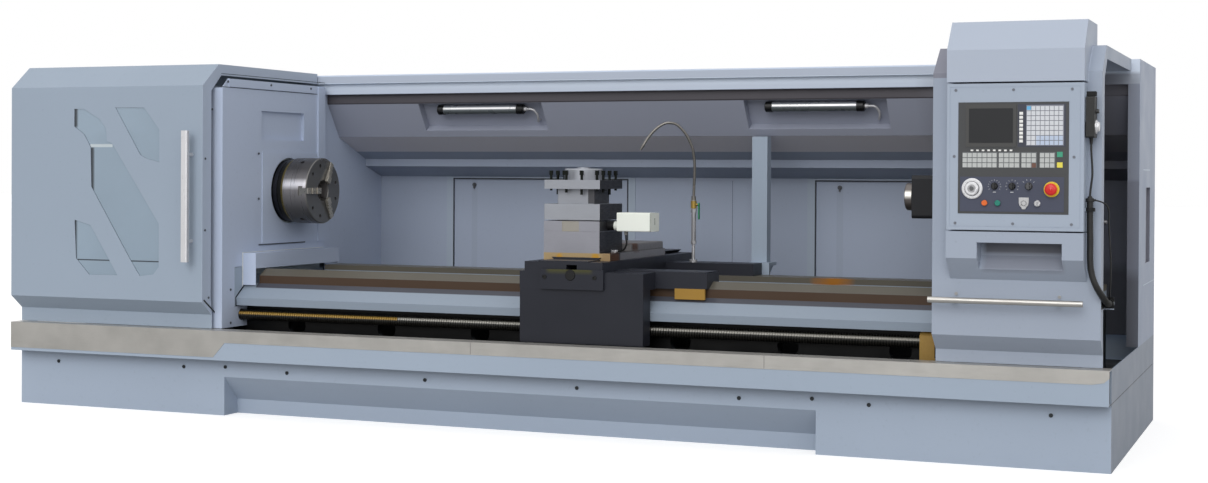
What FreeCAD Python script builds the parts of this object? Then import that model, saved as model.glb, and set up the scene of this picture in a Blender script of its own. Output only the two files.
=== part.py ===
"""Flat-bed CNC turning lathe, built as separate pieces.

Millimetres. +X runs from the headstock to the tailstock, +Y to the back, +Z up.
The origin is the middle of the base's footprint, on the floor.
"""
import FreeCAD
import Part
import os
from math import atan2, cos, hypot, pi, radians, sin, tan

V = FreeCAD.Vector
os.makedirs("parts", exist_ok=True)

# ---- base, tray and sill -------------------------------------------------
base_length = 5230.0
base_depth = 1680.0
base_height = 267.0            # top of the base, underside of the tray
left_pedestal = 1187.0
right_pedestal = 1175.0
toe_recess = 110.0             # depth of the recess between the pedestals
toe_strip = 85.0               # flush strip above the recess
toe_foot = 68.0                # height of the upright wall at the recess's foot
deck_depth = 60.0              # raised deck behind the tray
lip_overhang = 78.0
lip_height = 137.0
tray_floor = 18.0
tray_wall = 4.0
sill_thickness = 1.5
ledge_reach = 20.0             # how far the sill reaches in over the tray
sill_band = 54.0               # height of the steel band along the working zone
sill_full = 1177.0             # length of the full-height part at the left end
sill_slant = 63.0

# ---- bed -----------------------------------------------------------------
axis_setback = 600.0           # spindle axis behind the base's front
axis_height = 1055.0
bed_width = 750.0
bed_left_gap = 202.0           # from the base's left end to the bed
bed_right_gap = 135.0
way_height = 650.0             # top of the flat ways
vee_half = 60.0
vee_height = 30.0
vee_flat = 8.0
way_width = 150.0
way_face = 38.0                # ground front face of the front way
rear_way_rise = 25.0
rail_reach = 85.0              # how far the screw cover rail stands out from the way
rail_top = 592.0
rail_nose = 545.0
rail_bottom = 509.0
bed_wall = 30.0
bed_rib_pitch = 470.0
cover_fold = 72.0              # how far the partition's front edge folds back to the left
cover_recess = 18.0
core_hole = 95.0

# ---- headstock and spindle -------------------------------------------------
guard_plane = 1155.0           # from the base's left end to the headstock partition
sheet = 3.0
headstock_length = 956.0
headstock_width = 600.0
headstock_top = 1335.0
casting_round = 35.0
spindle_radius = 95.0
spindle_bore = 52.5
spindle_nose_radius = 155.0
spindle_nose_length = 44.0
chuck_radius = 162.5
chuck_length = 137.0
adapter_length = 34.0
chuck_bore = 50.0
jaw_width = 46.0
jaw_stem = 26.0
jaw_head_depth = 24.0
jaw_stem_depth = 20.0
jaw_proud = 4.0
jaw_inner = 56.0
jaw_outer = 157.0
key_hole = 11.0
pulley_width = 90.0
spindle_pulley_radius = 170.0
motor_pulley_radius = 75.0
belt_thickness = 9.0
motor_radius = 115.0
motor_length = 430.0
motor_setback = 1080.0         # motor axis behind the base's front
motor_height = 530.0
motor_shaft = 24.0

# ---- rear guard --------------------------------------------------------------
guard_setback = 972.0          # front of the guard's cap behind the base's front
guard_height = 1650.0
cap_height = 100.0
cap_return = 28.0
slope_top = 1506.0
slope_run = 120.0
slope_bottom = 1333.0
strip_setback = 431.0          # light strip behind the cap
strip_top = 1220.0
strip_height = 38.0
wall_setback = 603.0           # back wall behind the cap
wall_top = 1128.0
wall_sheet = 5.0
end_post = 50.0                # width of the end columns
end_height = 1659.0
vent_height = 340.0
vent_width = 190.0
vent_recess = 14.0
vent_bottom = 758.0
door_bottom = 450.0
door_top = 1114.0
door_width = 1009.0
left_door_start = 1591.0       # from the base's left end
right_door_start = 3614.0
door_border = 45.0
door_pan = 22.0
door_lap = 12.0                # how far the leaf's edge laps the wall behind it
hinge_pin = 5.0
hinge_knuckle = 9.0
hinge_length = 30.0
lamp_width = 690.0
left_lamp_start = 1670.0
right_lamp_start = 3412.0
lamp_pocket = 46.0
lamp_tube = 23.0
lamp_length = 480.0
lamp_cap = 26.0
conduit_wire = 6.0

# ---- sliding door --------------------------------------------------------------
skin = 3.0
hood_flange = 70.0             # depth of the door's folded edge
door_length = 1114.0
face_bottom = 535.0
face_top = 1551.0
ridge_height = 1657.0
ridge_setback = 129.0
strip_lift = 3.0               # running gap over the sill
strip_high = 472.0
roof_back = 940.0              # back edge of the roof behind the base's front
grip_bottom = 724.0
grip_length = 614.0
grip_width = 36.0
grip_depth = 20.0
grip_stand = 45.0
glass = 4.0

# ---- control station --------------------------------------------------------------
station_length = 649.0
station_gap = 34.0             # from the base's right end
station_face_bottom = 520.0
station_strip_high = 456.0
box_width = 522.0
box_margin = 73.0              # from the station's left edge to the panel box
box_depth = 97.0
box_bottom = 938.0
box_height = 565.0
header_gap = 7.0
header_height = 124.0
header_slant = 116.0
header_setback = 100.0
header_depth = 375.0
bin_height = 104.0
bin_slope = 86.0
bin_width = 322.0
bin_side = 120.0
bin_brow = 42.0                # face left above the bin's mouth
bin_mouth = 0.5                # share of the slope that the mouth cuts into
panel_width = 420.0
panel_height = 430.0
panel_side = 46.0
panel_lift = 63.0
panel_plate = 7.0
key_rise = 1.2
bar_radius = 12.0
bar_length = 593.0
bar_height = 661.0
bar_stand = 62.0
slot_height = 107.0

# ---- controls on the panel: distances from its left edge and its bottom edge -----
dial_x = 56.0
dial_z = 97.0
dial_radius = 40.0
feed_x = 141.0
speed_x = 208.0
mode_x = 271.0
knob_z = 107.0
knob_radius = 11.0
stop_x = 357.0
stop_z = 96.0
stop_radius = 23.0
button_radius = 11.0
orange_x = 104.0
green_x = 154.0
button_z = 42.0
key_x = 304.0
shaft_radius = 4.0

# ---- carriage ------------------------------------------------------------------------
carriage_start = 2691.0        # saddle's left side from the base's left end
apron_length = 584.0
saddle_length = 812.0
apron_setback = 50.0
apron_thickness = 84.0
apron_bottom = 405.0
apron_top = 645.0
saddle_front_top = 718.0
wing_top = 723.0
wing_width = 172.0
keeper_length = 138.0
bridge_offset = 24.0
bridge_length = 370.0
bridge_top = 761.0
bridge_end = 1250.0            # back end of the cross ways behind the base's front
dovetail_low = 200.0
dovetail_high = 236.0
dovetail_height = 14.0
screw_slot = 50.0
front_cap_rise = 5.0           # cap over the cross ways' front end
z_screw_radius = 25.0
z_screw_setback = 190.0
z_screw_height = 462.0
z_journal = 17.0
nut_length = 220.0
bracket_start = 4451.0
bracket_length = 64.0
servo_length = 190.0
servo_side = 116.0
x_screw_radius = 16.0
x_screw_offset = 249.0         # from the saddle's left side
x_screw_height = 705.0
x_journal = 12.0
plate_offset = 104.0
plate_length = 300.0
plate_thickness = 15.0
slide_offset = 49.0
slide_length = 320.0
slide_thickness = 33.0
slide_front = 200.0            # behind the base's front
slide_depth = 700.0
x_servo_length = 150.0
post_offset = 757.0            # cable post, from the saddle's left side
post_width = 75.0
post_depth = 60.0
post_top = 1328.0

# ---- tool post -------------------------------------------------------------------------
post_side = 270.0
riser_top = 936.0
riser_seam = 890.0
head_gap = 5.0
head_plate = 71.0
neck_side = 180.0
slot_height_tool = 67.0
clamp_plate = 40.0
cap_radius = 86.0
cap_rise = 51.0
pivot_radius = 45.0
bolt_radius = 6.0
bolt_head = 14.0
bolt_inset = 24.0
bolt_pitch = 74.0
motor_box_length = 161.0
motor_box_depth = 106.0
motor_box_bottom = 892.0
motor_box_height = 83.0
motor_box_reach = 61.0

# ---- coolant ------------------------------------------------------------------------------
pipe_offset = 512.0            # from the saddle's left side
pipe_setback = 900.0
pipe_radius = 8.0
pipe_top = 985.0
valve_radius = 14.0
valve_length = 36.0
hose_radius = 6.5
lever_length = 70.0

# ---- tailstock ---------------------------------------------------------------------------------
tail_start = 4333.0            # front of the barrel from the base's left end
tail_length = 690.0
tail_barrel = 93.0
tail_base_height = 110.0
tail_overhang = 150.0          # how far the head stands out in front of the foot
tail_base_inset = 45.0
quill_radius = 60.0
quill_proud = 41.0
taper_large = 31.67            # radius of the taper socket at its mouth
taper_small = 26.9
taper_depth = 183.0
wheel_radius = 110.0
wheel_rim = 11.0
wheel_gap = 45.0
crank_length = 70.0

# ---- electrical cabinet ------------------------------------------------------------------------------
cabinet_length = 1000.0
cabinet_depth = 365.0
cabinet_height = 690.0
cabinet_start = 90.0
cabinet_wall = 4.0

# ---- clearances ------------------------------------------------------------------------------------------
gap = 0.3                      # between pieces that slide past each other
fit = 0.08                     # radial, shaft in hole
clear = 3.0                    # between sheet covers

# ---- places worked out from the sizes above -----------------------------------------------------------------
left = -base_length / 2
right = base_length / 2
front = -base_depth / 2
back = base_depth / 2
tray_top = base_height + lip_height
sill_top = tray_top + sill_thickness
tray_floor_top = base_height + tray_floor
deck_front = back - deck_depth
lip_front = front - lip_overhang
axis_y = front + axis_setback
bed_front = axis_y - bed_width / 2
bed_back = axis_y + bed_width / 2
bed_left = left + bed_left_gap
bed_right = right - bed_right_gap
partition = left + guard_plane
cap_front = front + guard_setback
wall_face = cap_front + wall_setback
vee_middle = bed_front + vee_half
chuck_back = partition + spindle_nose_length + adapter_length - 14.0
chuck_face = chuck_back + chuck_length
saddle_left = left + carriage_start
saddle_right = saddle_left + saddle_length
saddle_front = front + apron_setback
slide_left = saddle_left + slide_offset
slide_top = bridge_top + gap + slide_thickness
post_x = slide_left + post_side / 2
post_y = front + slide_front + post_side / 2
screw_y = front + z_screw_setback
x_screw_x = saddle_left + x_screw_offset
station_right = right - station_gap
station_left = station_right - station_length
box_left = station_left + box_margin
box_right = box_left + box_width
box_front = lip_front - box_depth
panel_left = box_left + panel_side
panel_bottom = box_bottom + panel_lift
panel_face = box_front - 1.0


# ---- small building functions --------------------------------------------------------------------------------
def block(x0, x1, y0, y1, z0, z1):
    return Part.makeBox(x1 - x0, y1 - y0, z1 - z0, V(x0, y0, z0))


def rod_x(radius, x0, x1, y, z):
    return Part.makeCylinder(radius, x1 - x0, V(x0, y, z), V(1, 0, 0))


def rod_y(radius, y0, y1, x, z):
    return Part.makeCylinder(radius, y1 - y0, V(x, y0, z), V(0, 1, 0))


def rod_z(radius, z0, z1, x, y):
    return Part.makeCylinder(radius, z1 - z0, V(x, y, z0), V(0, 0, 1))


def face_of(points):
    return Part.Face(Part.makePolygon(points + [points[0]]))


def along_x(section, x0, x1):
    """A closed outline of (y, z) points carried from x0 to x1."""
    return face_of([V(x0, y, z) for y, z in section]).extrude(V(x1 - x0, 0, 0))


def along_y(outline, y0, y1):
    """A closed outline of (x, z) points carried from y0 to y1."""
    return face_of([V(x, y0, z) for x, z in outline]).extrude(V(0, y1 - y0, 0))


def along_z(outline, z0, z1):
    """A closed outline of (x, y) points carried from z0 to z1."""
    return face_of([V(x, y, z0) for x, y in outline]).extrude(V(0, 0, z1 - z0))


def turned_x(profile, y, z):
    """A profile of (x, radius) points turned about an axis along X."""
    outline = face_of([V(x, y, z + radius) for x, radius in profile])
    return outline.revolve(V(0, y, z), V(1, 0, 0), 360)


def turned_y(profile, x, z):
    """A profile of (y, radius) points turned about an axis along Y."""
    outline = face_of([V(x, y, z + radius) for y, radius in profile])
    return outline.revolve(V(x, 0, z), V(0, 1, 0), 360)


def joined(shapes):
    shapes = list(shapes)
    whole = shapes[0]
    if len(shapes) > 1:
        whole = whole.fuse(shapes[1:])
    return whole.removeSplitter()


def without(shape, tools):
    return shape.cut(list(tools))


def rounded(shape, radius, direction, limit=None):
    """Round the straight edges of a shape that run along a direction."""
    edges = []
    for edge in shape.Edges:
        if edge.Curve.TypeId != "Part::GeomLine":
            continue
        run = edge.lastVertex().Point - edge.firstVertex().Point
        if abs(run.dot(direction)) < 0.999 * run.Length:
            continue
        if limit is None or limit(edge.CenterOfMass):
            edges.append(edge)
    return shape.makeFillet(radius, edges)


def save(shape, name):
    shape.exportStep("parts/" + name + ".step")
    return shape


def smooth_route(points):
    """Straight runs joined by tangent arcs, and the arcs' radii."""
    edges = []
    radii = []
    here = points[0]
    for before, corner, after in zip(points, points[1:], points[2:]):
        into = corner - before
        out = after - corner
        turn = into.getAngle(out)
        reach = 0.45 * min(into.Length, out.Length)
        radii.append(reach / tan(turn / 2))
        into.normalize()
        out.normalize()
        start = corner - into * reach
        end = corner + out * reach
        bisector = out - into
        bisector.normalize()
        bow = radii[-1] / cos(turn / 2) - radii[-1]
        edges.append(Part.LineSegment(here, start).toShape())
        edges.append(Part.Arc(start, corner + bisector * bow, end).toShape())
        here = end
    edges.append(Part.LineSegment(here, points[-1]).toShape())
    return Part.Wire(edges), radii


def hose(points, radius, name):
    """A tube along a route, with its bends and its volume printed."""
    wire, radii = smooth_route(points)
    heading = points[1] - points[0]
    ring = Part.Wire(Part.makeCircle(radius, points[0], heading))
    tube = wire.makePipeShell([ring], True, True)
    expected = pi * radius ** 2 * wire.Length
    print(name, "length", round(wire.Length), "radii", [round(r) for r in radii],
          "volume ratio", round(tube.Volume / expected, 4))
    return tube


def hinge_pair(x, y, z):
    """Knuckles of one hinge about a vertical pin: the fixed ones with the pin, the moving one."""
    third = hinge_length / 3
    low = rod_z(hinge_knuckle, z, z + third - gap, x, y)
    high = rod_z(hinge_knuckle, z + 2 * third + gap, z + hinge_length, x, y)
    pin = rod_z(hinge_pin, z, z + hinge_length, x, y)
    middle = rod_z(hinge_knuckle, z + third, z + 2 * third, x, y)
    middle = middle.cut(rod_z(hinge_pin + fit, z, z + hinge_length, x, y))
    return joined([low, high, pin]), middle


# ---- base and tray --------------------------------------------------------------------------------------------
def make_base():
    foot = front + toe_recess
    section = [(front, base_height), (front, base_height - toe_strip), (foot, toe_foot), (foot, 0),
               (back - toe_recess, 0), (back - toe_recess, toe_foot),
               (back, base_height - toe_strip), (back, tray_top),
               (deck_front, tray_top), (deck_front, base_height)]
    middle = along_x(section, left, right)
    ends = []
    for x0, x1 in ((left, left + left_pedestal), (right - right_pedestal, right)):
        ends.append(block(x0, x1, front, back, 0, base_height))
        ends.append(block(x0, x1, deck_front, back, base_height, tray_top))
    return joined([middle] + ends)


def make_tray():
    trough = block(left, right, lip_front, deck_front, base_height, tray_top)
    inner = block(left + tray_wall, right - tray_wall, front, deck_front - tray_wall,
                  tray_floor_top, tray_top + 1)
    under_lip = block(left - 1, right + 1, lip_front + tray_wall, front - tray_wall,
                      base_height + tray_wall, tray_top - tray_wall)
    return without(trough, [inner, under_lip])


def make_sill():
    low = tray_top - sill_band
    full = left + sill_full
    outline = [(left, tray_top), (left, base_height + 14), (full, base_height + 14),
               (full + sill_slant, low), (right - 65, low), (right - 20, low + 8),
               (right, low + 26), (right, tray_top)]
    band = along_y(outline, lip_front - sill_thickness, lip_front)
    ledge = block(left, right, lip_front - sill_thickness, front + ledge_reach, tray_top, sill_top)
    return joined([band, ledge])


# ---- bed ---------------------------------------------------------------------------------------------------------
def way_outline(grow):
    """The tops of both ways as one outline, grown outwards for what rides on them."""
    vee_top = way_height + vee_height
    deep = way_height - 60
    start = bed_front - grow
    return [(start, deep), (start, way_height + grow),
            (vee_middle - vee_flat / 2 - 2 * grow, vee_top + grow),
            (vee_middle + vee_flat / 2 + 2 * grow, vee_top + grow),
            (vee_middle + vee_half + 2 * grow, way_height + grow),
            (bed_front + way_width + grow, way_height + grow),
            (bed_front + way_width + grow, deep)]


def rear_way_outline(grow):
    top = way_height + rear_way_rise + grow
    deep = way_height - 60
    start = bed_back - way_width - grow
    end = bed_back + grow
    return [(start, deep), (start, top), (end, top), (end, deep)]


def make_bed():
    web_front = bed_front + bed_wall
    rail_front = bed_front - rail_reach
    rail_section = [(web_front, way_height - way_face), (bed_front, way_height - way_face),
                    (bed_front - 22, rail_top), (rail_front, rail_nose),
                    (rail_front + 4, rail_bottom), (web_front, rail_bottom)]
    way_start = partition + 77
    pieces = [along_x(way_outline(0), way_start, bed_right),
              along_x(rear_way_outline(0), way_start, bed_right),
              along_x(rail_section, partition + 2, bracket_x() + bracket_length - 10)]
    low = way_height - 60
    head_pad = block(bed_left, partition - 24, bed_front, bed_back, low, way_height)
    neck = block(partition - 24, way_start, bed_front + 2, bed_back, low, way_height - 50)
    front_wall = block(bed_left, bed_right, bed_front + 15, bed_front + 15 + bed_wall, tray_floor_top, low + 1)
    back_wall = block(bed_left, bed_right, bed_back - 15 - bed_wall, bed_back - 15, tray_floor_top, low + 1)
    floor = block(bed_left, bed_right, bed_front + 15, bed_back - 15, tray_floor_top, tray_floor_top + 35)
    back_ledge = block(way_start, bed_right, bed_back - 15 - bed_wall, bed_back, low - 20, low + 1)
    front_ledge = block(way_start, bed_right, bed_front + 15, bed_front + way_width, low - 20, low + 1)
    count = round((bed_right - bed_left) / bed_rib_pitch)
    step = (bed_right - bed_left - bed_wall) / count
    holes = []
    for k in range(count + 1):
        x = bed_left + k * step
        pieces.append(block(x, x + bed_wall, bed_front + 15, bed_back - 15, tray_floor_top, low + 1))
        if k < count and x > partition:
            middle = x + (step + bed_wall) / 2
            height = (tray_floor_top + 35 + rail_bottom) / 2
            holes.append(rod_y(core_hole / 2, bed_front, bed_back, middle, height))
    bearing = block(partition - 160, partition - 100, screw_y - 45, bed_front + 20,
                    z_screw_height - 45, z_screw_height + 45)
    bearing = bearing.cut(rod_x(z_journal + fit, partition - 161, partition - 99, screw_y, z_screw_height))
    bed = joined(pieces + [head_pad, neck, front_wall, back_wall, floor, back_ledge, front_ledge])
    servo_room = block(bracket_x() - 10, bracket_x() + bracket_length + servo_length + 60,
                       bed_front - 1, bed_front + 15 + bed_wall + 1, z_screw_height - 75, z_screw_height + 75)
    return joined([without(bed, holes + [servo_room]), bearing])


def bracket_x():
    return left + bracket_start


def make_z_bracket():
    """The housing of the screw's right-hand bearing."""
    x0 = bracket_x()
    outline = [(screw_y - 48, z_screw_height - 76), (screw_y - 48, z_screw_height + 30),
               (screw_y - 30, z_screw_height + 44), (bed_front + 14, z_screw_height + 44),
               (bed_front + 14, z_screw_height - 76)]
    body = along_x(outline, x0, x0 + bracket_length)
    web = block(x0, x0 + bracket_length, bed_front + 14, bed_front + 15 + bed_wall,
                z_screw_height - 60, z_screw_height + 60)
    bore = rod_x(z_journal + fit, x0 - 1, x0 + bracket_length + 1, screw_y, z_screw_height)
    return joined([body, web]).cut(bore)


def make_servo_along_x(x0, y, z, side, length):
    """A square flange, a ribbed square case, and the terminal box on its back."""
    flange = block(x0, x0 + 14, y - side / 2, y + side / 2, z - side / 2, z + side / 2)
    small = side / 2 - 6
    case = block(x0 + 14, x0 + length * 0.72, y - small, y + small, z - small, z + small)
    case = rounded(case, 10, V(1, 0, 0))
    tail = block(x0 + length * 0.72, x0 + length, y - small + 6, y + small - 6, z - small + 6, z + small - 6)
    return joined([flange, case, tail])


def make_z_servo():
    x0 = bracket_x() + bracket_length
    motor = make_servo_along_x(x0, screw_y, z_screw_height, servo_side, servo_length)
    return motor.cut(rod_x(z_journal + 8, x0 - 1, x0 + 30, screw_y, z_screw_height))


def make_z_screw():
    x0 = partition - 99
    x1 = bracket_x() - 1
    return turned_x([(x0 - 61, 0), (x0 - 61, z_journal), (x0, z_journal), (x0, z_screw_radius),
                     (x1, z_screw_radius), (x1, z_journal), (x1 + bracket_length + 20, z_journal),
                     (x1 + bracket_length + 20, 0)], screw_y, z_screw_height)


# ---- headstock -----------------------------------------------------------------------------------------------------
def headstock_ends():
    x1 = partition - 24
    return x1 - headstock_length + 24, x1


def make_headstock():
    x0, x1 = headstock_ends()
    y0 = axis_y - headstock_width / 2
    y1 = axis_y + headstock_width / 2
    body = block(x0, x1, y0, y1, way_height, headstock_top)
    body = rounded(body, casting_round, V(1, 0, 0), lambda c: c.z > axis_height)
    foot = block(x0, x1, bed_front, y1 + 40, way_height, way_height + 55)
    lid = block(x0 + 45, x1 - 45, y0 + 45, y1 - 45, headstock_top, headstock_top + 16)
    collars = [rod_x(165, x1, x1 + 12, axis_y, axis_height), rod_x(150, x0 - 6, x0, axis_y, axis_height)]
    side = block(x0 + 120, x1 - 120, y0 - 8, y0, axis_height - 180, axis_height + 120)
    whole = joined([body, foot, lid, side] + collars)
    return whole.cut(rod_x(spindle_radius + fit, x0 - 7, x1 + 13, axis_y, axis_height))


def make_spindle():
    x0, x1 = headstock_ends()
    pulley_end = x0 - 7 - pulley_width
    nose = partition - 14
    v = pulley_width / 4
    rim = spindle_pulley_radius
    grooves = []
    for k in range(4):
        start = pulley_end + k * v
        grooves += [(start, rim), (start + v / 2, rim - 6)]
    profile = [(pulley_end, spindle_bore)] + grooves + [
        (pulley_end + pulley_width, rim), (pulley_end + pulley_width, spindle_radius),
        (nose + 6, spindle_radius), (nose + 6, spindle_nose_radius - 18), (nose + 14, spindle_nose_radius),
        (nose + spindle_nose_length, spindle_nose_radius), (nose + spindle_nose_length, spindle_bore)]
    return turned_x(profile, axis_y, axis_height)


def jaw_directions():
    """The three jaws: one towards the front, the others behind the axis, up and down."""
    return [(cos(a), sin(a)) for a in (pi, pi / 3, -pi / 3)]


def turn_about_spindle(shape, y, z):
    turned = shape.copy()
    turned.rotate(V(0, axis_y, axis_height), V(1, 0, 0), atan2(z, y) * 180 / pi)
    return turned


def jaw_solid(grow, r0, r1, proud):
    """A T-shaped slide that points along +Y; grown, it is the slot for it."""
    head = jaw_width / 2 + grow
    stem = jaw_stem / 2 + grow
    floor = chuck_face - jaw_stem_depth - jaw_head_depth - grow
    neck = chuck_face - jaw_stem_depth + grow
    y0 = axis_y + r0
    y1 = axis_y + r1
    t_head = block(floor, neck, y0, y1, axis_height - head, axis_height + head)
    t_stem = block(neck - 1, chuck_face + proud, y0, y1, axis_height - stem, axis_height + stem)
    return joined([t_head, t_stem])


def make_chuck():
    ring = chuck_radius - 5
    profile = [(chuck_back - adapter_length, chuck_bore), (chuck_back - adapter_length, ring - 4),
               (chuck_back - adapter_length + 5, ring), (chuck_back, ring), (chuck_back, chuck_radius - 3),
               (chuck_back + 3, chuck_radius), (chuck_face - 4, chuck_radius), (chuck_face, chuck_radius - 4),
               (chuck_face, chuck_bore + 3), (chuck_face - 3, chuck_bore)]
    body = turned_x(profile, axis_y, axis_height)
    cuts = []
    for y, z in jaw_directions():
        cuts.append(turn_about_spindle(jaw_solid(gap, chuck_bore - 20, chuck_radius + 10, 20), y, z))
        middle = (chuck_back + chuck_face) / 2
        hole = rod_y(key_hole, axis_y + chuck_radius - 12, axis_y + chuck_radius + 5, middle, axis_height)
        square = block(middle - 7, middle + 7, axis_y + chuck_radius - 40, axis_y + chuck_radius,
                       axis_height - 7, axis_height + 7)
        cuts.append(turn_about_spindle(joined([hole, square]), -y, -z))
        for side in (-0.32, 0.32):
            a = atan2(-z, -y) + side
            bolt_y = axis_y + (chuck_radius - 36) * cos(a)
            bolt_z = axis_height + (chuck_radius - 36) * sin(a)
            cuts.append(rod_x(9, chuck_face - 18, chuck_face + 5, bolt_y, bolt_z))
    return without(body, cuts)


def make_jaw(y, z):
    jaw = jaw_solid(0, jaw_inner, jaw_outer, jaw_proud)
    groove = block(chuck_face - 4, chuck_face + jaw_proud + 1, axis_y + jaw_outer - 42, axis_y + jaw_outer - 30,
                   axis_height - jaw_width, axis_height + jaw_width)
    return turn_about_spindle(jaw.cut(groove), y, z)


def motor_axis():
    return front + motor_setback, motor_height


def make_spindle_motor():
    x0, x1 = headstock_ends()
    y, z = motor_axis()
    start = x0 + 6
    drum = turned_x([(start, 0), (start, motor_radius - 14), (start + 12, motor_radius),
                     (start + motor_length * 0.75, motor_radius),
                     (start + motor_length * 0.75, motor_radius - 7),
                     (start + motor_length - 15, motor_radius - 7), (start + motor_length, motor_radius - 30),
                     (start + motor_length, 0)], y, z)
    foot = block(start + 50, start + motor_length - 130, y - 95, y + 95, tray_floor_top, z - motor_radius * 0.7)
    terminal = block(start + 90, start + 210, y - 55, y + 55, z + motor_radius - 12, z + motor_radius + 55)
    shaft_hole = rod_x(motor_shaft + fit, start - 1, start + 40, y, z)
    return joined([drum, foot, terminal]).cut(shaft_hole)


def make_motor_pulley():
    x0, x1 = headstock_ends()
    y, z = motor_axis()
    end = x0 - 7 - pulley_width
    v = pulley_width / 4
    grooves = []
    for k in range(4):
        start = end + k * v
        grooves += [(start, motor_pulley_radius), (start + v / 2, motor_pulley_radius - 6)]
    profile = [(end, 0)] + grooves + [(end + pulley_width, motor_pulley_radius),
                                      (end + pulley_width, motor_shaft), (x0 + 40, motor_shaft), (x0 + 40, 0)]
    return turned_x(profile, y, z)


def belt_face(x, centre_a, radius_a, centre_b, radius_b):
    """A face across the belt drive that takes in both circles and the tangents between them."""
    ay, az = centre_a
    by, bz = centre_b
    line = atan2(bz - az, by - ay)
    lean = (pi / 2) - atan2(radius_a - radius_b, hypot(by - ay, bz - az))
    def on(centre, radius, angle):
        return V(x, centre[0] + radius * cos(angle), centre[1] + radius * sin(angle))
    up, down = line + lean, line - lean
    far_a = Part.Arc(on(centre_a, radius_a, up), on(centre_a, radius_a, line + pi), on(centre_a, radius_a, down))
    far_b = Part.Arc(on(centre_b, radius_b, down), on(centre_b, radius_b, line), on(centre_b, radius_b, up))
    edges = [far_a.toShape(), Part.LineSegment(far_a.EndPoint, far_b.StartPoint).toShape(),
             far_b.toShape(), Part.LineSegment(far_b.EndPoint, far_a.StartPoint).toShape()]
    return Part.Face(Part.Wire(edges))


def make_belt():
    x0, x1 = headstock_ends()
    start = x0 - 7 - pulley_width + 4
    run = V(pulley_width - 8, 0, 0)
    spindle_axis = (axis_y, axis_height)
    inner = belt_face(start, spindle_axis, spindle_pulley_radius + gap, motor_axis(), motor_pulley_radius + gap)
    outer = belt_face(start, spindle_axis, spindle_pulley_radius + belt_thickness,
                      motor_axis(), motor_pulley_radius + belt_thickness)
    return outer.extrude(run).cut(inner.extrude(run))


def make_headstock_cover():
    """The painted partition that the spindle nose comes through, with the cover over the ways' ends."""
    x0, x1 = partition - sheet, partition
    edge = front + 24
    top = face_top + 38
    front_part = block(x0, x1, edge, cap_front - 36, tray_top + clear, top)
    rear_part = block(x0 - 16, x1 - 16, cap_front - 36, wall_face - gap, tray_top + clear, top)
    step = block(x0 - 16, x1, cap_front - 36 - sheet, cap_front - 36, tray_top + clear, top)
    fold = block(x0 - cover_fold, x1, edge, edge + sheet, tray_top + clear, top - 44)
    corner = along_x([(edge - 1, top - 42), (edge - 1, top + 1), (edge + 46, top + 1)], x0 - 1, x1 + 1)
    wall = joined([front_part, rear_part, step, fold]).cut(corner)
    bed_notch = joined([
        block(x0 - 40, x1 + 1, bed_front - rail_reach - 10, bed_back + 3, rail_bottom - 6,
              way_height + vee_height + 12),
        block(x0 - 40, x1 + 1, bed_front + 12, bed_back + 3, tray_top - 10, rail_bottom)])
    screw_hole = rod_x(z_screw_radius + clear, x0 - 1, x1 + 1, screw_y, z_screw_height)
    beam = along_x(grown_beam(), x0 - 40, x1 + 40)
    hole = rod_x(spindle_nose_radius + 8, x0 - 1, x1 + 20, axis_y, axis_height)
    recess_y = axis_y - 244
    recess = [block(x1 - cover_recess - sheet, x1, recess_y - sheet, recess_y + 390 + sheet, 1304, 1448)]
    recess_cut = block(x1 - cover_recess, x1 + 1, recess_y, recess_y + 390, 1307, 1445)
    plate = block(x1, x1 + 4, axis_y - 239, axis_y + 272, 792, 1245)
    strip = block(x1, x1 + 10, axis_y + 272, cap_front - 36, 792, top - 6)
    brow = block(x1, x1 + 6, edge + 47, axis_y + 248, top - 38, top)
    cover_front = axis_y - 405
    cover_back = bed_back - 5
    deep = 75.0
    cover = [block(x1, x1 + deep, cover_front, cover_back, 757 - sheet, 757),
             block(x1, x1 + deep, cover_front, cover_front + sheet, way_height - 46, 757),
             block(x1, x1 + deep, cover_back - sheet, cover_back, way_height + rear_way_rise + 3, 757),
             block(x1 + deep - sheet, x1 + deep, cover_front, cover_back, way_height + vee_height + 4, 757)]
    whole = joined([wall.cut(bed_notch), plate, strip, brow] + recess + cover)
    return without(whole, [beam, hole, recess_cut, screw_hole])


# ---- rear guard -------------------------------------------------------------------------------------------------------
def beam_outline():
    """The guard's upper beam: cap, sloped lamp panel, light strip, back."""
    y = cap_front
    return [(y, guard_height), (y, guard_height - cap_height), (y + cap_return, guard_height - cap_height),
            (y + cap_return, slope_top), (y + cap_return + slope_run, slope_bottom),
            (y + strip_setback, strip_top), (y + strip_setback, strip_top - strip_height),
            (wall_face, wall_top), (wall_face + wall_sheet, wall_top),
            (wall_face + wall_sheet, guard_height - 30), (wall_face - 25, guard_height)]


def grown_beam():
    flat = face_of([V(0, y, z) for y, z in beam_outline()])
    bigger = flat.makeOffset2D(gap, 2, False, False)
    outline = [v.Point for v in bigger.OuterWire.OrderedVertexes]
    return [(p.y, p.z) for p in outline]


def slope_point(x, down, deep):
    """A point on the lamp panel: down its slope, and in behind its surface."""
    drop = slope_top - slope_bottom
    size = hypot(slope_run, drop)
    along = (slope_run / size, -drop / size)
    inward = (drop / size, slope_run / size)
    y = cap_front + cap_return + down * along[0] + deep * inward[0]
    z = slope_top + down * along[1] + deep * inward[1]
    return V(x, y, z)


def slope_block(x0, x1, down0, down1, deep0, deep1):
    corners = [slope_point(x0, d, k) for d, k in ((down0, deep0), (down1, deep0), (down1, deep1), (down0, deep1))]
    return face_of(corners).extrude(V(x1 - x0, 0, 0))


def rear_doors():
    """Where the two access doors begin."""
    return [left + left_door_start, left + right_door_start]


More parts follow.
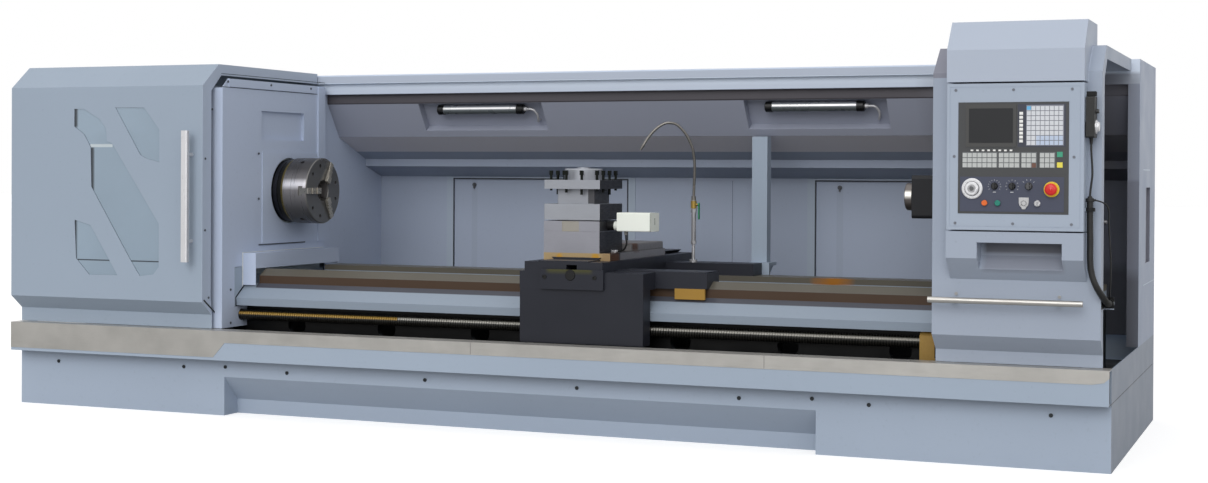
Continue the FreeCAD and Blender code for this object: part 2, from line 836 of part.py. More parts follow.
def hinge_heights():
    return [door_bottom + 70, door_top - 100]


def make_rear_guard():
    x0, x1 = left + end_post, right - end_post
    beam = along_x(beam_outline(), x0, x1)
    pockets = [slope_block(x, x + lamp_width, 8, 172, -5, lamp_pocket)
               for x in (left + left_lamp_start, left + right_lamp_start)]
    beam = without(beam, pockets)
    wall = block(x0, x1, wall_face, wall_face + wall_sheet, tray_top, wall_top)
    frames = []
    cuts = []
    stops = []
    for x in rear_doors():
        ring = block(x - door_border, x + door_width + door_border, wall_face - 3, wall_face,
                     door_bottom - door_border, min(door_top + door_border, wall_top - 1))
        frames.append(ring)
        cuts.append(block(x, x + door_width, wall_face - 4, wall_face + wall_sheet + 1, door_bottom, door_top))
        stops.append(block(x + door_width - 3 + gap, x + door_width + 2, wall_face + wall_sheet - 1,
                           wall_face + wall_sheet + 3, door_bottom, door_top))
        for z in hinge_heights():
            fixed, moving = hinge_pair(x + door_width, wall_face + door_pan + hinge_knuckle, z)
            leaf = block(x + door_width + 2, x + door_width + 30, wall_face + wall_sheet,
                         wall_face + door_pan + hinge_knuckle + 4, z, z + hinge_length / 3 - gap)
            leaf_high = leaf.translated(V(0, 0, 2 * hinge_length / 3 + gap))
            frames += [fixed, leaf, leaf_high]
    cab_x, cab_y, cab_z = cabinet_corner()
    cuts.append(block(cab_x - 6, cab_x + cabinet_length + 6, wall_face - 4, wall_face + wall_sheet + 1,
                      cab_z - 6, cab_z + cabinet_height + 6))
    rail = block(x0, x1, front + roof_back + 6 + gap, cap_front, guard_height - 45, guard_height - 8)
    ends = [make_end_post(left, left + end_post, left), make_end_post(right - end_post, right, right)]
    return joined([without(joined([wall] + frames), cuts), beam, rail] + ends + stops)


def make_end_post(x0, x1, outer):
    """A folded end column: a front strip, an outer side with a vent, and a top."""
    box = block(x0, x1, cap_front, back, tray_top, end_height)
    inner = block(x0 + sheet, x1 - sheet, cap_front + sheet, back - sheet, tray_top - 1, end_height - sheet)
    open_side = block(x0 - 1 if outer == right else x1 - sheet - 1, x0 + sheet + 1 if outer == right else x1 + 1,
                      cap_front + 60, back - 40, tray_top - 1, end_height - 60)
    into = -1 if outer == right else 1
    vent_y = cap_front + 290
    vent_top = vent_bottom + vent_height
    cut_x = sorted((outer - into, outer + into * vent_recess))
    cut = block(cut_x[0], cut_x[1], vent_y, vent_y + vent_width, vent_bottom, vent_top)
    tub_x = sorted((outer + into, outer + into * (vent_recess + sheet)))
    tub = block(tub_x[0], tub_x[1], vent_y - sheet, vent_y + vent_width + sheet,
                vent_bottom - sheet, vent_top + sheet)
    return joined([without(box, [inner, open_side]), tub]).cut(cut)


def make_rear_door(x):
    """A shallow pan in the back wall that swings out behind the machine."""
    y0, y1 = wall_face, wall_face + door_pan
    face = block(x + 3, x + door_width - 3, y0, y1, door_bottom + 3, door_top - 3)
    pan = block(x + 5, x + door_width - 5, y0 + 2, y1 + 1, door_bottom + 5, door_top - 5)
    stiff = block(x + door_width / 2 - 30, x + door_width / 2 + 30, y0 + 1, y1 - 4, door_bottom + 4, door_top - 4)
    lap_y = y0 + wall_sheet + gap
    lap = block(x - door_lap, x + door_width - 3, lap_y, lap_y + 1.5, door_bottom - door_lap, door_top + door_lap)
    lap = lap.cut(block(x + 4, x + door_width - 4, lap_y - 1, lap_y + 3, door_bottom + 4, door_top - 4))
    door = joined([face.cut(pan), stiff, lap])
    latch_z = door_top - 30
    latch = rod_y(11, y0 - 7, y0 + 4, x + 122, latch_z)
    latch = joined([latch, block(x + 118, x + 126, y0 - 12, y0 - 6, latch_z - 20, latch_z + 10)])
    pieces = [door, latch]
    axis_x = x + door_width
    axis = wall_face + door_pan + hinge_knuckle
    for z in hinge_heights():
        fixed, moving = hinge_pair(axis_x, axis, z)
        third = hinge_length / 3
        leaf = block(axis_x - 45, axis_x - hinge_pin - 1, y0 + 1, y1 + 4, z + third, z + 2 * third)
        pieces += [moving, leaf]
    return joined(pieces)


def cabinet_corner():
    return left + cabinet_start, wall_face - cabinet_depth, tray_top + 24


def make_cabinet():
    x, y, z = cabinet_corner()
    shell = block(x, x + cabinet_length, y, wall_face, z, z + cabinet_height)
    inner = block(x + cabinet_wall, x + cabinet_length - cabinet_wall, y + cabinet_wall, wall_face + 1,
                  z + cabinet_wall, z + cabinet_height - cabinet_wall)
    gear = [block(x + 60, x + cabinet_length - 60, y + cabinet_wall, y + 14, z + 50, z + cabinet_height - 50)]
    for k in range(4):
        start = x + 110 + k * 120
        gear.append(block(start, start + 90, y + 14, y + 190, z + 330, z + 600))
    for k in range(7):
        start = x + 110 + k * 62
        gear.append(block(start, start + 48, y + 14, y + 100, z + 130, z + 220))
    gear.append(block(x + 620, x + 880, y + 14, y + 150, z + 120, z + 560))
    feet = []
    for fx in (x + 60, x + cabinet_length - 120):
        feet.append(block(fx, fx + 60, y + 30, wall_face - 30, tray_floor_top, z))
    lid_pin = []
    axis_y_here = wall_face + door_pan + hinge_knuckle
    for hz in (z + 80, z + cabinet_height - 110):
        fixed, moving = hinge_pair(x, axis_y_here, hz)
        leaf = block(x - 5, x - 1, wall_face - 40, axis_y_here, hz, hz + hinge_length / 3 - gap)
        bridge = block(x - 5, x + 1, wall_face - 40, wall_face - 10, hz, hz + hinge_length / 3 - gap)
        lift = V(0, 0, 2 * hinge_length / 3 + gap)
        lid_pin += [fixed, leaf, bridge, leaf.translated(lift), bridge.translated(lift)]
    return joined([shell.cut(inner)] + gear + feet + lid_pin)


def make_cabinet_door():
    x, y, z = cabinet_corner()
    y0 = wall_face + gap
    pan = block(x + 3, x + cabinet_length - 3, y0, y0 + door_pan, z + 3, z + cabinet_height - 3)
    hollow = block(x + 6, x + cabinet_length - 6, y0 - 1, y0 + door_pan - 3, z + 6, z + cabinet_height - 6)
    grip = rod_y(14, y0 + door_pan - 1, y0 + door_pan + 8, x + cabinet_length - 45, z + cabinet_height / 2)
    bar = block(x + cabinet_length - 52, x + cabinet_length - 38, y0 + door_pan + 6, y0 + door_pan + 16,
                z + cabinet_height / 2 - 50, z + cabinet_height / 2 + 14)
    pieces = [pan.cut(hollow), grip, bar]
    axis = wall_face + door_pan + hinge_knuckle
    for hz in (z + 80, z + cabinet_height - 110):
        fixed, moving = hinge_pair(x, axis, hz)
        third = hinge_length / 3
        leaf = block(x + hinge_pin + 1, x + 45, y0 + door_pan - 1, y0 + door_pan + 3, hz + third, hz + 2 * third)
        pieces += [moving, leaf]
    return joined(pieces)


def make_lamp(x0):
    """A sealed tube light in its pocket, with caps, clips and a looped steel conduit."""
    start = x0 + 100
    down, deep = 55, 14
    axis = slope_point(0, down, deep)
    y, z = axis.y, axis.z
    tube = turned_x([(start, 0), (start, lamp_cap - 4), (start + 4, lamp_cap), (start + 36, lamp_cap),
                     (start + 36, lamp_tube), (start + lamp_length - 36, lamp_tube),
                     (start + lamp_length - 36, lamp_cap), (start + lamp_length - 4, lamp_cap),
                     (start + lamp_length, lamp_cap - 4), (start + lamp_length, 0)], y, z)
    clips = [slope_block(x, x + 16, down - 9, down + 9, deep, lamp_pocket)
             for x in (start + 10, start + lamp_length - 26)]
    gland = rod_x(11, start + lamp_length - 1, start + lamp_length + 16, y, z)
    end = start + lamp_length + 15
    loop = [V(end, y, z), slope_point(end + 34, down, deep), slope_point(end + 52, down + 34, deep),
            slope_point(end + 46, down + 66, deep + 2), slope_point(end + 38, down + 84, deep + 14),
            slope_point(end + 38, down + 84, lamp_pocket)]
    wire, radii = smooth_route(loop)
    ring = Part.Wire(Part.makeCircle(conduit_wire, loop[0], loop[1] - loop[0]))
    return joined([tube, gland, wire.makePipeShell([ring], True, True)] + clips)


# ---- sliding door and station: both are arched covers that run on the sill and the rail --------------------
def hood_outline(bottom, strip_low, strip_top_z, inset):
    """Outside of the arched cover in (y, z), moved inwards by the inset."""
    k = inset * 0.42
    roof_y = front + roof_back
    return [(front + inset, strip_low), (front + inset, strip_top_z + k),
            (lip_front + inset, bottom + k), (lip_front + inset, face_top - k),
            (lip_front + ridge_setback + k, ridge_height - inset), (roof_y, ridge_height - inset)]


def hood(x0, x1, bottom, strip_top_z):
    """The folded cover: one sheet with a deep folded edge on both sides."""
    low = tray_top + strip_lift
    outer = hood_outline(bottom, low, strip_top_z, 0)
    inner = hood_outline(bottom, low, strip_top_z, skin)
    shell = along_x(outer + inner[::-1], x0, x1)
    edge_inner = hood_outline(bottom, low, strip_top_z, hood_flange - 18)
    edge_inner[0] = (front + skin, low)
    edge_inner[1] = (front + skin, strip_top_z)
    edge_inner[2] = (lip_front + hood_flange, bottom + 12)
    edge_inner[3] = (lip_front + hood_flange, face_top - 22)
    rim = outer + edge_inner[::-1]
    sides = [along_x(rim, x0, x0 + skin), along_x(rim, x1 - skin, x1)]
    roof_y = front + roof_back
    tail = block(x0, x1, roof_y - skin, roof_y, ridge_height - 52, ridge_height)
    wheels = []
    for x in (x0 + 60, x1 - 60):
        wheels.append(block(x - 22, x + 22, roof_y - 1, roof_y + 6, ridge_height - 48, ridge_height - skin))
        wheels.append(block(x - 22, x + 22, front + skin - 1, front + 18, sill_top + gap, low + 40))
    return joined([shell, tail] + sides + wheels)


def window_panes():
    """The three clear areas that two slanting bands leave in the window, in (x, z) from the door's left."""
    x = left
    tall = [(378, 1447), (435, 1446), (526, 1397), (563, 1353), (570, 1291), (600, 1280), (869, 900), (870, 695),
            (838, 658), (762, 649), (706, 727), (479, 1072), (474, 1262), (436, 1323), (378, 1361)]
    upper = [(618, 1451), (784, 1449), (871, 1346), (872, 1190), (800, 1207), (763, 1225)]
    lower = [(381, 911), (475, 887), (633, 650), (469, 648), (390, 726)]
    return [[(x + a, z) for a, z in pane] for pane in (tall, upper, lower)]


def make_sliding_door():
    x0, x1 = left, left + door_length
    door = hood(x0, x1, face_bottom, strip_high)
    cuts = [along_y(pane, lip_front - 1, lip_front + skin + 1) for pane in window_panes()]
    return without(door, cuts)


def make_window():
    """One sheet behind all three panes, held in a thin channel."""
    edge = 16
    x0, x1 = left + 378 - edge, left + 872 + edge
    z0, z1 = 648 - edge, 1451 + edge
    cut = 75
    outline = [(x0, z0 + cut), (x0, z1), (x1 - cut * 1.1, z1), (x1, z1 - cut * 1.3), (x1, z0 + cut * 0.6),
               (x1 - cut * 0.6, z0), (x0 + cut, z0)]
    return along_y(outline, lip_front + skin, lip_front + skin + glass)


def make_door_grip():
    x0 = left + 1036
    y1 = lip_front - grip_stand
    bar = block(x0, x0 + grip_width, y1 - grip_depth, y1, grip_bottom, grip_bottom + grip_length)
    bar = rounded(bar, 7, V(0, 0, 1), lambda c: c.y < y1 - grip_depth / 2)
    posts = [rod_y(9, y1 - 1, lip_front, x0 + grip_width / 2, z) for z in (grip_bottom + 96, grip_bottom + 502)]
    return joined([bar] + posts)


def make_station():
    shell = hood(station_left, station_right, station_face_bottom, station_strip_high)
    header_low = box_bottom + box_height + header_gap
    slant_low = header_low + header_height
    header_back = box_front + header_setback + header_depth - 100
    section = [(box_front, header_low), (box_front, slant_low), (box_front + header_setback, slant_low + header_slant),
               (header_back, slant_low + header_slant), (header_back, ridge_height - skin),
               (lip_front + ridge_setback, ridge_height - skin), (lip_front + skin, face_top),
               (lip_front + skin, header_low)]
    header = along_x(section, box_left, box_right)
    bin_top = box_bottom - 6
    bin_low = bin_top - bin_height
    pocket_section = [(box_front, bin_top), (box_front, bin_low), (lip_front, bin_low - bin_slope), (lip_front, bin_top)]
    pocket = along_x(pocket_section, box_left, box_right)
    hollow = along_x(bin_hollow(bin_low, bin_top), box_left + bin_side, box_left + bin_side + bin_width)
    return joined([shell, header, pocket.cut(hollow), conduit_gland()])


def bin_hollow(bin_low, bin_top):
    """The bin's hollow in (y, z): open through the front and half of the slope below, with a raked floor."""
    lower = bin_low - bin_slope * bin_mouth
    lower_y = box_front + box_depth * bin_mouth
    return [(box_front - 1, bin_top - bin_brow), (box_front - 1, bin_low), (lower_y - 1, lower - 1),
            (lip_front - 6, bin_low + 10), (lip_front - 6, bin_top - bin_brow)]


def conduit_gland():
    """A folded lug behind the station's right edge, with the gland that takes the conduit."""
    end = conduit_route()[-1]
    lug = block(station_right - skin, station_right, lip_front + hood_flange - 2, end.y + 12, end.z - 24, end.z + 24)
    plate = block(station_right - skin, end.x + 17, end.y + 8, end.y + 12, end.z - 24, end.z + 24)
    nut = rod_y(17, end.y, end.y + 24, end.x, end.z)
    return joined([lug, plate, nut])


def make_station_bar():
    y = lip_front - bar_stand
    x0 = station_left - 3
    bar = rod_x(bar_radius, x0, x0 + bar_length, y, bar_height)
    posts = [rod_y(8, y, lip_front, station_left + x, bar_height + 0) for x in (93, 492)]
    return joined([bar] + posts)


def make_panel_box():
    """The box that carries the operator panel, with its screws' plate, side slot and pendant hook."""
    top = box_bottom + box_height
    body = block(box_left, box_right, box_front, lip_front, box_bottom, top)
    body = rounded(body, 4, V(0, 0, 1), lambda c: c.y < box_front + 5)
    groove_out = block(box_left + 13, box_right - 13, box_front - 1, box_front + 1.2, box_bottom + 13, top - 13)
    groove_in = block(box_left + 15, box_right - 15, box_front - 2, box_front + 2, box_bottom + 15, top - 15)
    pocket = block(panel_left, panel_left + panel_width, box_front - 1, box_front + panel_plate - 1,
                   panel_bottom, panel_bottom + panel_height)
    slot = block(box_right - 4, box_right + 1, box_front + 62, box_front + 70, 1127, 1127 + slot_height)
    holes = [rod_y(shaft_radius + fit, box_front, box_front + 22, x, z) for x, z in control_places().values()]
    x, y, z = pendant_corner()
    hook = joined([block(box_right - 1, x + 34, y + 22, y + 28, z + 158, z + 176),
                   block(box_right - 1, x + 34, y + 48, y + 54, z + 158, z + 176),
                   block(box_right - 1, box_right + 3, y + 16, y + 60, z + 60, z + 176)])
    top_end = conduit_route()[0]
    clip = rod_z(20, top_end.z - 36, top_end.z - 22, top_end.x, top_end.y)
    arm = block(box_right - 1, top_end.x, top_end.y - 14, top_end.y + 14, top_end.z - 36, top_end.z - 22)
    clip = joined([clip, arm]).cut(rod_z(13 + gap, top_end.z - 40, top_end.z, top_end.x, top_end.y))
    return joined([without(body, [groove_out.cut(groove_in), pocket, slot] + holes), hook, clip])


def control_places():
    """Where each control stands on the panel, by node."""
    spots = {"mpg_dial": (dial_x, dial_z), "feed_knob": (feed_x, knob_z), "speed_knob": (speed_x, knob_z),
             "mode_knob": (mode_x, knob_z), "stop_button": (stop_x, stop_z), "orange_button": (orange_x, button_z),
             "green_button": (green_x, button_z), "key_switch": (key_x, button_z)}
    return {name: (panel_left + x, panel_bottom + z) for name, (x, z) in spots.items()}


def pads(x0, x1, z0, z1, columns, rows, share):
    """A grid of raised keys between two corners of the panel."""
    wide = (x1 - x0) / columns
    high = (z1 - z0) / rows
    keys = []
    for i in range(columns):
        for j in range(rows):
            x = panel_left + x0 + i * wide
            z = panel_bottom + z0 + j * high
            keys.append(block(x, x + wide * share, panel_face - key_rise, panel_face + 1, z, z + high * share))
    return keys


def make_control_panel():
    plate = block(panel_left + gap, panel_left + panel_width - gap, panel_face, box_front + panel_plate - 1,
                  panel_bottom + gap, panel_bottom + panel_height - gap)
    screen_frame = block(panel_left + 30, panel_left + 222, panel_face - 2.5, panel_face + 1,
                         panel_bottom + 258, panel_bottom + 422)
    screen = block(panel_left + 42, panel_left + 210, panel_face - 4, panel_face - 1,
                   panel_bottom + 274, panel_bottom + 406)
    lower = block(panel_left + 9, panel_left + 403, panel_face - 1.2, panel_face + 1,
                  panel_bottom + 9, panel_bottom + 143)
    keys = pads(234, 253, 275, 396, 1, 8, 0.72)
    keys += pads(262, 400, 265, 416, 8, 8, 0.86)
    keys += pads(18, 151, 179, 237, 7, 3, 0.86)
    keys += pads(157, 237, 179, 237, 4, 3, 0.86)
    keys += pads(243, 300, 179, 237, 3, 3, 0.86)
    keys += pads(312, 369, 179, 237, 3, 3, 0.86)
    keys += [block(panel_left + 376, panel_left + 397, panel_face - key_rise, panel_face + 1,
                   panel_bottom + z, panel_bottom + z + 20) for z in (179, 219)]
    socket = rod_y(17, panel_face - 4, panel_face, panel_left + 253, panel_bottom + button_z)
    collar = rod_y(stop_radius + 6, panel_face - 4, panel_face, *control_places()["stop_button"])
    body = joined([plate.cut(screen_frame), screen_frame.cut(screen), screen, lower, socket, collar])
    body = body.fuse(keys)
    holes = [rod_y(shaft_radius + fit, panel_face - 9, box_front + 22, x, z) for x, z in control_places().values()]
    return without(body, holes)


def panel_front(name):
    """The face that a control stands in front of."""
    return panel_face - (4 if name == "stop_button" else 1.2) - gap


def stem(name, x, z):
    return rod_y(shaft_radius, panel_front(name) - 1, box_front + 20, x, z)


def make_mpg_dial():
    x, z = control_places()["mpg_dial"]
    y = panel_front("mpg_dial")
    wheel = turned_y([(y, 0), (y, dial_radius), (y - 5, dial_radius), (y - 7, dial_radius - 3),
                      (y - 7, dial_radius - 12), (y - 14, dial_radius - 14), (y - 16, dial_radius - 17),
                      (y - 16, 0)], x, z)
    grip = rod_y(6, y - 26, y - 15, x + dial_radius * 0.42, z - 6)
    return joined([wheel, grip, stem("mpg_dial", x, z)])


def make_knob(name, radius, height):
    """A turned skirt with a raised finger bar."""
    x, z = control_places()[name]
    y = panel_front(name)
    skirt = turned_y([(y, 0), (y, radius + 3), (y - 4, radius), (y - 9, radius - 1), (y - 9, 0)], x, z)
    bar = block(x - radius * 0.34, x + radius * 0.34, y - height, y - 8, z - radius + 1, z + radius + 2)
    return joined([skirt, bar, stem(name, x, z)])


def make_push_button(name, radius, height):
    x, z = control_places()[name]
    y = panel_front(name) - 3
    cap = turned_y([(y, 0), (y, radius), (y - height + 2, radius), (y - height, radius - 2), (y - height, 0)], x, z)
    return joined([cap, rod_y(shaft_radius, y - 1, box_front + 16, x, z)])


def make_stop_button():
    x, z = control_places()["stop_button"]
    y = panel_front("stop_button") - 5
    r = stop_radius
    head = turned_y([(y, 0), (y, r * 0.55), (y - 8, r * 0.55), (y - 10, r), (y - 18, r), (y - 24, r * 0.7),
                     (y - 26, 0)], x, z)
    return joined([head, rod_y(shaft_radius, y - 1, box_front + 14, x, z)])


def make_key_switch():
    x, z = control_places()["key_switch"]
    y = panel_front("key_switch")
    barrel = turned_y([(y, 0), (y, 12), (y - 7, 12), (y - 9, 10), (y - 9, 0)], x, z)
    key = block(x - 1.5, x + 1.5, y - 30, y - 8, z - 9, z + 9)
    return joined([barrel, key, stem("key_switch", x, z)])


# ---- pendant and its cords ------------------------------------------------------------------------------------------
def pendant_corner():
    return box_right + 4, box_front + 10, 1294.0


def make_pendant():
    """The hand-held unit that hangs on the hook at the panel box's side."""
    x, y, z = pendant_corner()
    depth, width, height = 32, 76, 156
    case = block(x, x + depth, y, y + width, z, z + height)
    case = rounded(case, 6, V(1, 0, 0))
    relief = Part.makeCone(8, 5, 26, V(x + depth / 2, y + width / 2, z + 1), V(0, 0, -1))
    holes = [rod_x(3 + fit, x + depth - 12, x + depth + 1, y + width / 2, zz) for zz in pendant_heights()]
    return without(joined([case, relief]), holes)


def pendant_heights():
    z = pendant_corner()[2]
    return z + 42, z + 100


def make_pendant_dial():
    x, y, z = pendant_corner()
    x0 = x + 32 + gap
    zz = pendant_heights()[0]
    disc = turned_x([(x0, 0), (x0, 27), (x0 + 4, 27), (x0 + 6, 20), (x0 + 13, 18), (x0 + 14, 16), (x0 + 14, 0)],
                    y + 38, zz)
    return joined([disc, rod_x(3, x0 - 10, x0 + 1, y + 38, zz)])


def make_pendant_knob():
    x, y, z = pendant_corner()
    x0 = x + 32 + gap
    zz = pendant_heights()[1]
    knob = turned_x([(x0, 0), (x0, 10), (x0 + 3, 9), (x0 + 12, 8), (x0 + 12, 0)], y + 38, zz)
    return joined([knob, rod_x(3, x0 - 10, x0 + 1, y + 38, zz)])


def conduit_route():
    """The thick cable hose: down beside the panel box, round the station's edge, into its gland."""
    x = box_right + 17
    y = box_front + 48
    side = station_right + 19
    return [V(x, y, 1050), V(x, y, 970), V(x + 2, y + 1, 893), V(x + 1, y - 1, 829), V(x + 8, y, 769),
            V(x + 28, y + 3, 721), V(side - 3, y + 38, 676), V(side, y + 100, 656), V(side, y + 152, 656)]


def make_conduit():
    return hose(conduit_route(), 13, "cable_conduit")


def pendant_cord_route():
    x, y, z = pendant_corner()
    top = V(x + 16, y + 38, z - 25)
    low = conduit_route()[0] + V(0, 0, 14)
    return [top, top + V(0.5, 0, -32), top + V(4, -1, -72), top + V(6, -2, -118),
            V(low.x + 4, low.y - 1, low.z + 52), V(low.x + 0.5, low.y, low.z + 22), low]


def make_pendant_cord():
    """The thin lead from the pendant down to the collar on the thick hose."""
    return hose(pendant_cord_route(), 4, "pendant_cord")


def loop_lead_route():
    """The thin lead that leaves the hose's collar and hangs in a long bow to the same gland."""
    top = conduit_route()[0] + V(15, 0, 7)
    end = conduit_route()[-1] + V(0, 4, 20.4)
    return [top, top + V(26, 4, -3), top + V(54, 22, -26), V(end.x + 6, end.y - 96, top.z - 92),
            V(end.x + 12, end.y - 72, top.z - 200), V(end.x + 12, end.y - 60, end.z + 110),
            V(end.x + 9, end.y - 48, end.z + 46), V(end.x + 4, end.y - 26, end.z + 10), end]


def make_loop_lead():
    return hose(loop_lead_route(), 3, "loop_lead")


def make_conduit_collar():
    top = conduit_route()[0]
    return rod_z(16, top.z, top.z + 14, top.x, top.y)


# ---- carriage -----------------------------------------------------------------------------------------------------------
def dovetail_outline(middle, grow, lower):
    """The cross ways' section about their middle, grown for the groove that slides over them."""
    lean = (dovetail_high - dovetail_low) / 2 / dovetail_height
    bottom = dovetail_low / 2 + grow - lean * lower
    top = dovetail_low / 2 + grow + lean * (dovetail_height + grow / 2)
    z0 = bridge_top - lower
    z1 = bridge_top + dovetail_height + grow / 2
    return [(middle - bottom, z0), (middle - top, z1), (middle + top, z1), (middle + bottom, z0)]


def make_saddle():
    """An H-shaped casting: wings on both ways, and a bridge that carries the cross ways."""
    x0, x1 = saddle_left, saddle_right
    bridge_x0 = x0 + bridge_offset
    bridge_x1 = bridge_x0 + bridge_length
    bridge_y1 = front + bridge_end
    low = way_height - 2
    front_wing = block(x0, x1, bed_front - 28, bed_front - 28 + wing_width, low, wing_top)
    rear_wing = block(x0, x1 + 12, bed_back - way_width + 20, bed_back + 12, way_height + 20, wing_top + 8)
    nose = block(x0, x0 + apron_length, saddle_front, bed_front - 27, apron_top, saddle_front_top)
    bridge = block(bridge_x0, bridge_x1, saddle_front, bridge_y1, way_height + 10, bridge_top)
    middle = (bridge_x0 + bridge_x1) / 2
    ways_start = front + slide_front - 10
    dovetail = along_y(dovetail_outline(middle, 0, 0), ways_start, bridge_y1)
    cap_half = dovetail_high / 2
    front_cap = block(middle - cap_half, middle + cap_half, saddle_front + 2, ways_start, bridge_top - 1,
                      bridge_top + front_cap_rise)
    slot_low = x_screw_height - x_screw_radius - 4
    slot_x0, slot_x1 = x_screw_x - screw_slot / 2, x_screw_x + screw_slot / 2
    slot = joined([block(slot_x0, slot_x1, saddle_front - 1, bridge_y1 - 30, slot_low, bridge_top - 12),
                   block(slot_x0, slot_x1, ways_start + 2, bridge_y1 - 30, slot_low,
                         bridge_top + dovetail_height + 1)])
    keepers = [block(x, x + keeper_length, bed_front - 28, bed_front - 15, way_height - 46, low + 1)
               for x in (x0 + 2, x1 - keeper_length)]
    ends = [block(x, x + 12, bed_front - 28, bed_front - 28 + wing_width - 10, way_height + 2, wing_top - 6)
            for x in (x1 - 2,)]
    whole = joined([front_wing, rear_wing, nose, bridge, dovetail, front_cap] + keepers + ends)
    ways = [along_x(way_outline(gap), x0 - 20, x1 + 20), along_x(rear_way_outline(gap), x0 - 20, x1 + 20)]
    screw_end = rod_y(x_journal + fit, bridge_y1 - 31, bridge_y1 + 1, x_screw_x, x_screw_height)
    foot_hole = rod_z(pipe_radius + fit, wing_top - 12, wing_top + 9, pipe_x(), pipe_y())
    return without(whole, ways + [slot, screw_end, foot_hole])


def make_apron():
    x0 = saddle_left
    y1 = saddle_front + apron_thickness
    body = block(x0, x0 + apron_length, saddle_front, y1, apron_bottom, apron_top)
    body = rounded(body, 5, V(0, 0, 1), lambda c: c.y < saddle_front + 1)
    nut_x = x0 + 130
    housing = block(nut_x, nut_x + nut_length, y1 - 1, bed_front, z_screw_height - 52, rail_bottom - 4)
    bore = rod_x(z_screw_radius + fit, nut_x - 1, nut_x + nut_length + 1, screw_y, z_screw_height)
    return joined([body, housing]).cut(bore)


def make_end_plate():
    x0 = saddle_left + plate_offset
    y0 = saddle_front - plate_thickness
    z0, z1 = apron_top - 3, saddle_front_top + 11
    plate = block(x0, x0 + plate_length, y0, saddle_front, z0, z1)
    plate = rounded(plate, 4, V(0, 1, 0))
    bearing = rod_y(x_journal + fit, y0 - 1, saddle_front + 1, x_screw_x, x_screw_height)
    counter = rod_y(24, y0 - 1, y0 + 6, x_screw_x, x_screw_height)
    bolts = [rod_y(9, y0 - 1, y0 + 7, x0 + x, z1 - 34) for x in (20, plate_length - 42)]
    return without(plate, [bearing, counter] + bolts)


def make_x_screw():
    y0 = saddle_front - plate_thickness + 2
    y1 = front + bridge_end
    return turned_y([(y0, 0), (y0, x_journal), (saddle_front + 3, x_journal), (saddle_front + 3, x_screw_radius),
                     (y1 - 34, x_screw_radius), (y1 - 34, x_journal), (y1 + 20, x_journal), (y1 + 20, 0)],
                    x_screw_x, x_screw_height)


def make_x_servo():
    y0 = front + bridge_end
    side = 65
    flange = block(x_screw_x - side, x_screw_x + side, y0, y0 + 14, x_screw_height - side, x_screw_height + side - 20)
    small = side - 8
    case = block(x_screw_x - small, x_screw_x + small, y0 + 14, y0 + x_servo_length * 0.75,
                 x_screw_height - small, x_screw_height + small - 20)
    case = rounded(case, 10, V(0, 1, 0))
    tail = block(x_screw_x - small + 8, x_screw_x + small - 8, y0 + x_servo_length * 0.75, y0 + x_servo_length,
                 x_screw_height - small + 8, x_screw_height + small - 28)
    return joined([flange, case, tail]).cut(rod_y(x_journal + 6, y0 - 1, y0 + 30, x_screw_x, x_screw_height))


def make_cross_slide():
    x0 = slide_left
    y0 = front + slide_front
    y1 = y0 + slide_depth
    z0 = bridge_top + gap
    table = block(x0, x0 + slide_length, y0, y1, z0, z0 + slide_thickness)
    middle = saddle_left + bridge_offset + bridge_length / 2
    table = table.cut(along_y(dovetail_outline(middle, 2 * gap, 1), y0 - 1, y1 + 1))
    lid = block(x0 + 22, x0 + slide_length - 8, y0 + post_side + 6, y1 - 10, slide_top - 0.01, slide_top + 34)
    lid = rounded(lid, 8, V(0, 1, 0), lambda c: c.z > slide_top + 30)
    half = screw_slot / 2 - 3
    nut = block(x_screw_x - half, x_screw_x + half, y0 + 220, y0 + 310, x_screw_height - x_screw_radius - 3,
                bridge_top + dovetail_height + 2)
    nut = nut.cut(rod_y(x_screw_radius + fit, y0 + 219, y0 + 311, x_screw_x, x_screw_height))
    return joined([table, lid, nut])


def make_cable_post():
    """The square tube behind the saddle that carries its cables, on a bracket at the rear wing."""
    x0 = saddle_left + post_offset
    y0 = bed_back + 12
    bracket = block(x0 - 8, x0 + post_width + 27, y0, y0 + 16, way_height, wing_top + 8)
    shelf = block(x0 - 8, x0 + post_width + 27, y0, y0 + 123, wing_top - 7, wing_top + 8)
    gusset = [(y0 + 15, wing_top - 6), (y0 + 15, way_height + 10), (y0 + 100, wing_top - 6)]
    webs = [along_x(gusset, x, x + 10) for x in (x0, x0 + post_width + 9)]
    tube = block(x0, x0 + post_width, y0 + 50, y0 + 50 + post_depth, wing_top + 7, post_top)
    return joined([bracket, shelf, tube] + webs)


# ---- tool post ---------------------------------------------------------------------------------------------------------------
def square_block(side, z0, z1, corner=0):
    shape = block(post_x - side / 2, post_x + side / 2, post_y - side / 2, post_y + side / 2, z0, z1)
    if corner:
        shape = rounded(shape, corner, V(0, 0, 1))
    return shape


def make_tool_post_base():
    lower = square_block(post_side, slide_top, riser_seam - 1)
    seam = square_block(post_side - 3, riser_seam - 1, riser_seam + 1)
    upper = square_block(post_side, riser_seam + 1, riser_top)
    ring = rod_z(post_side / 2 - 30, riser_top, riser_top + head_gap - gap, post_x, post_y)
    pivot = rod_z(pivot_radius, riser_top, riser_top + head_gap + head_plate + 60, post_x, post_y)
    y0 = post_y - post_side / 2
    plate_spot = block(post_x - 43, post_x + 38, y0 - 1, y0 + 1, riser_seam + 4, riser_top - 3)
    return joined([lower, seam, upper, ring, pivot]).cut(plate_spot)


def head_heights():
    seat = riser_top + head_gap + head_plate
    plate = seat + slot_height_tool
    return riser_top + head_gap, seat, plate, plate + clamp_plate


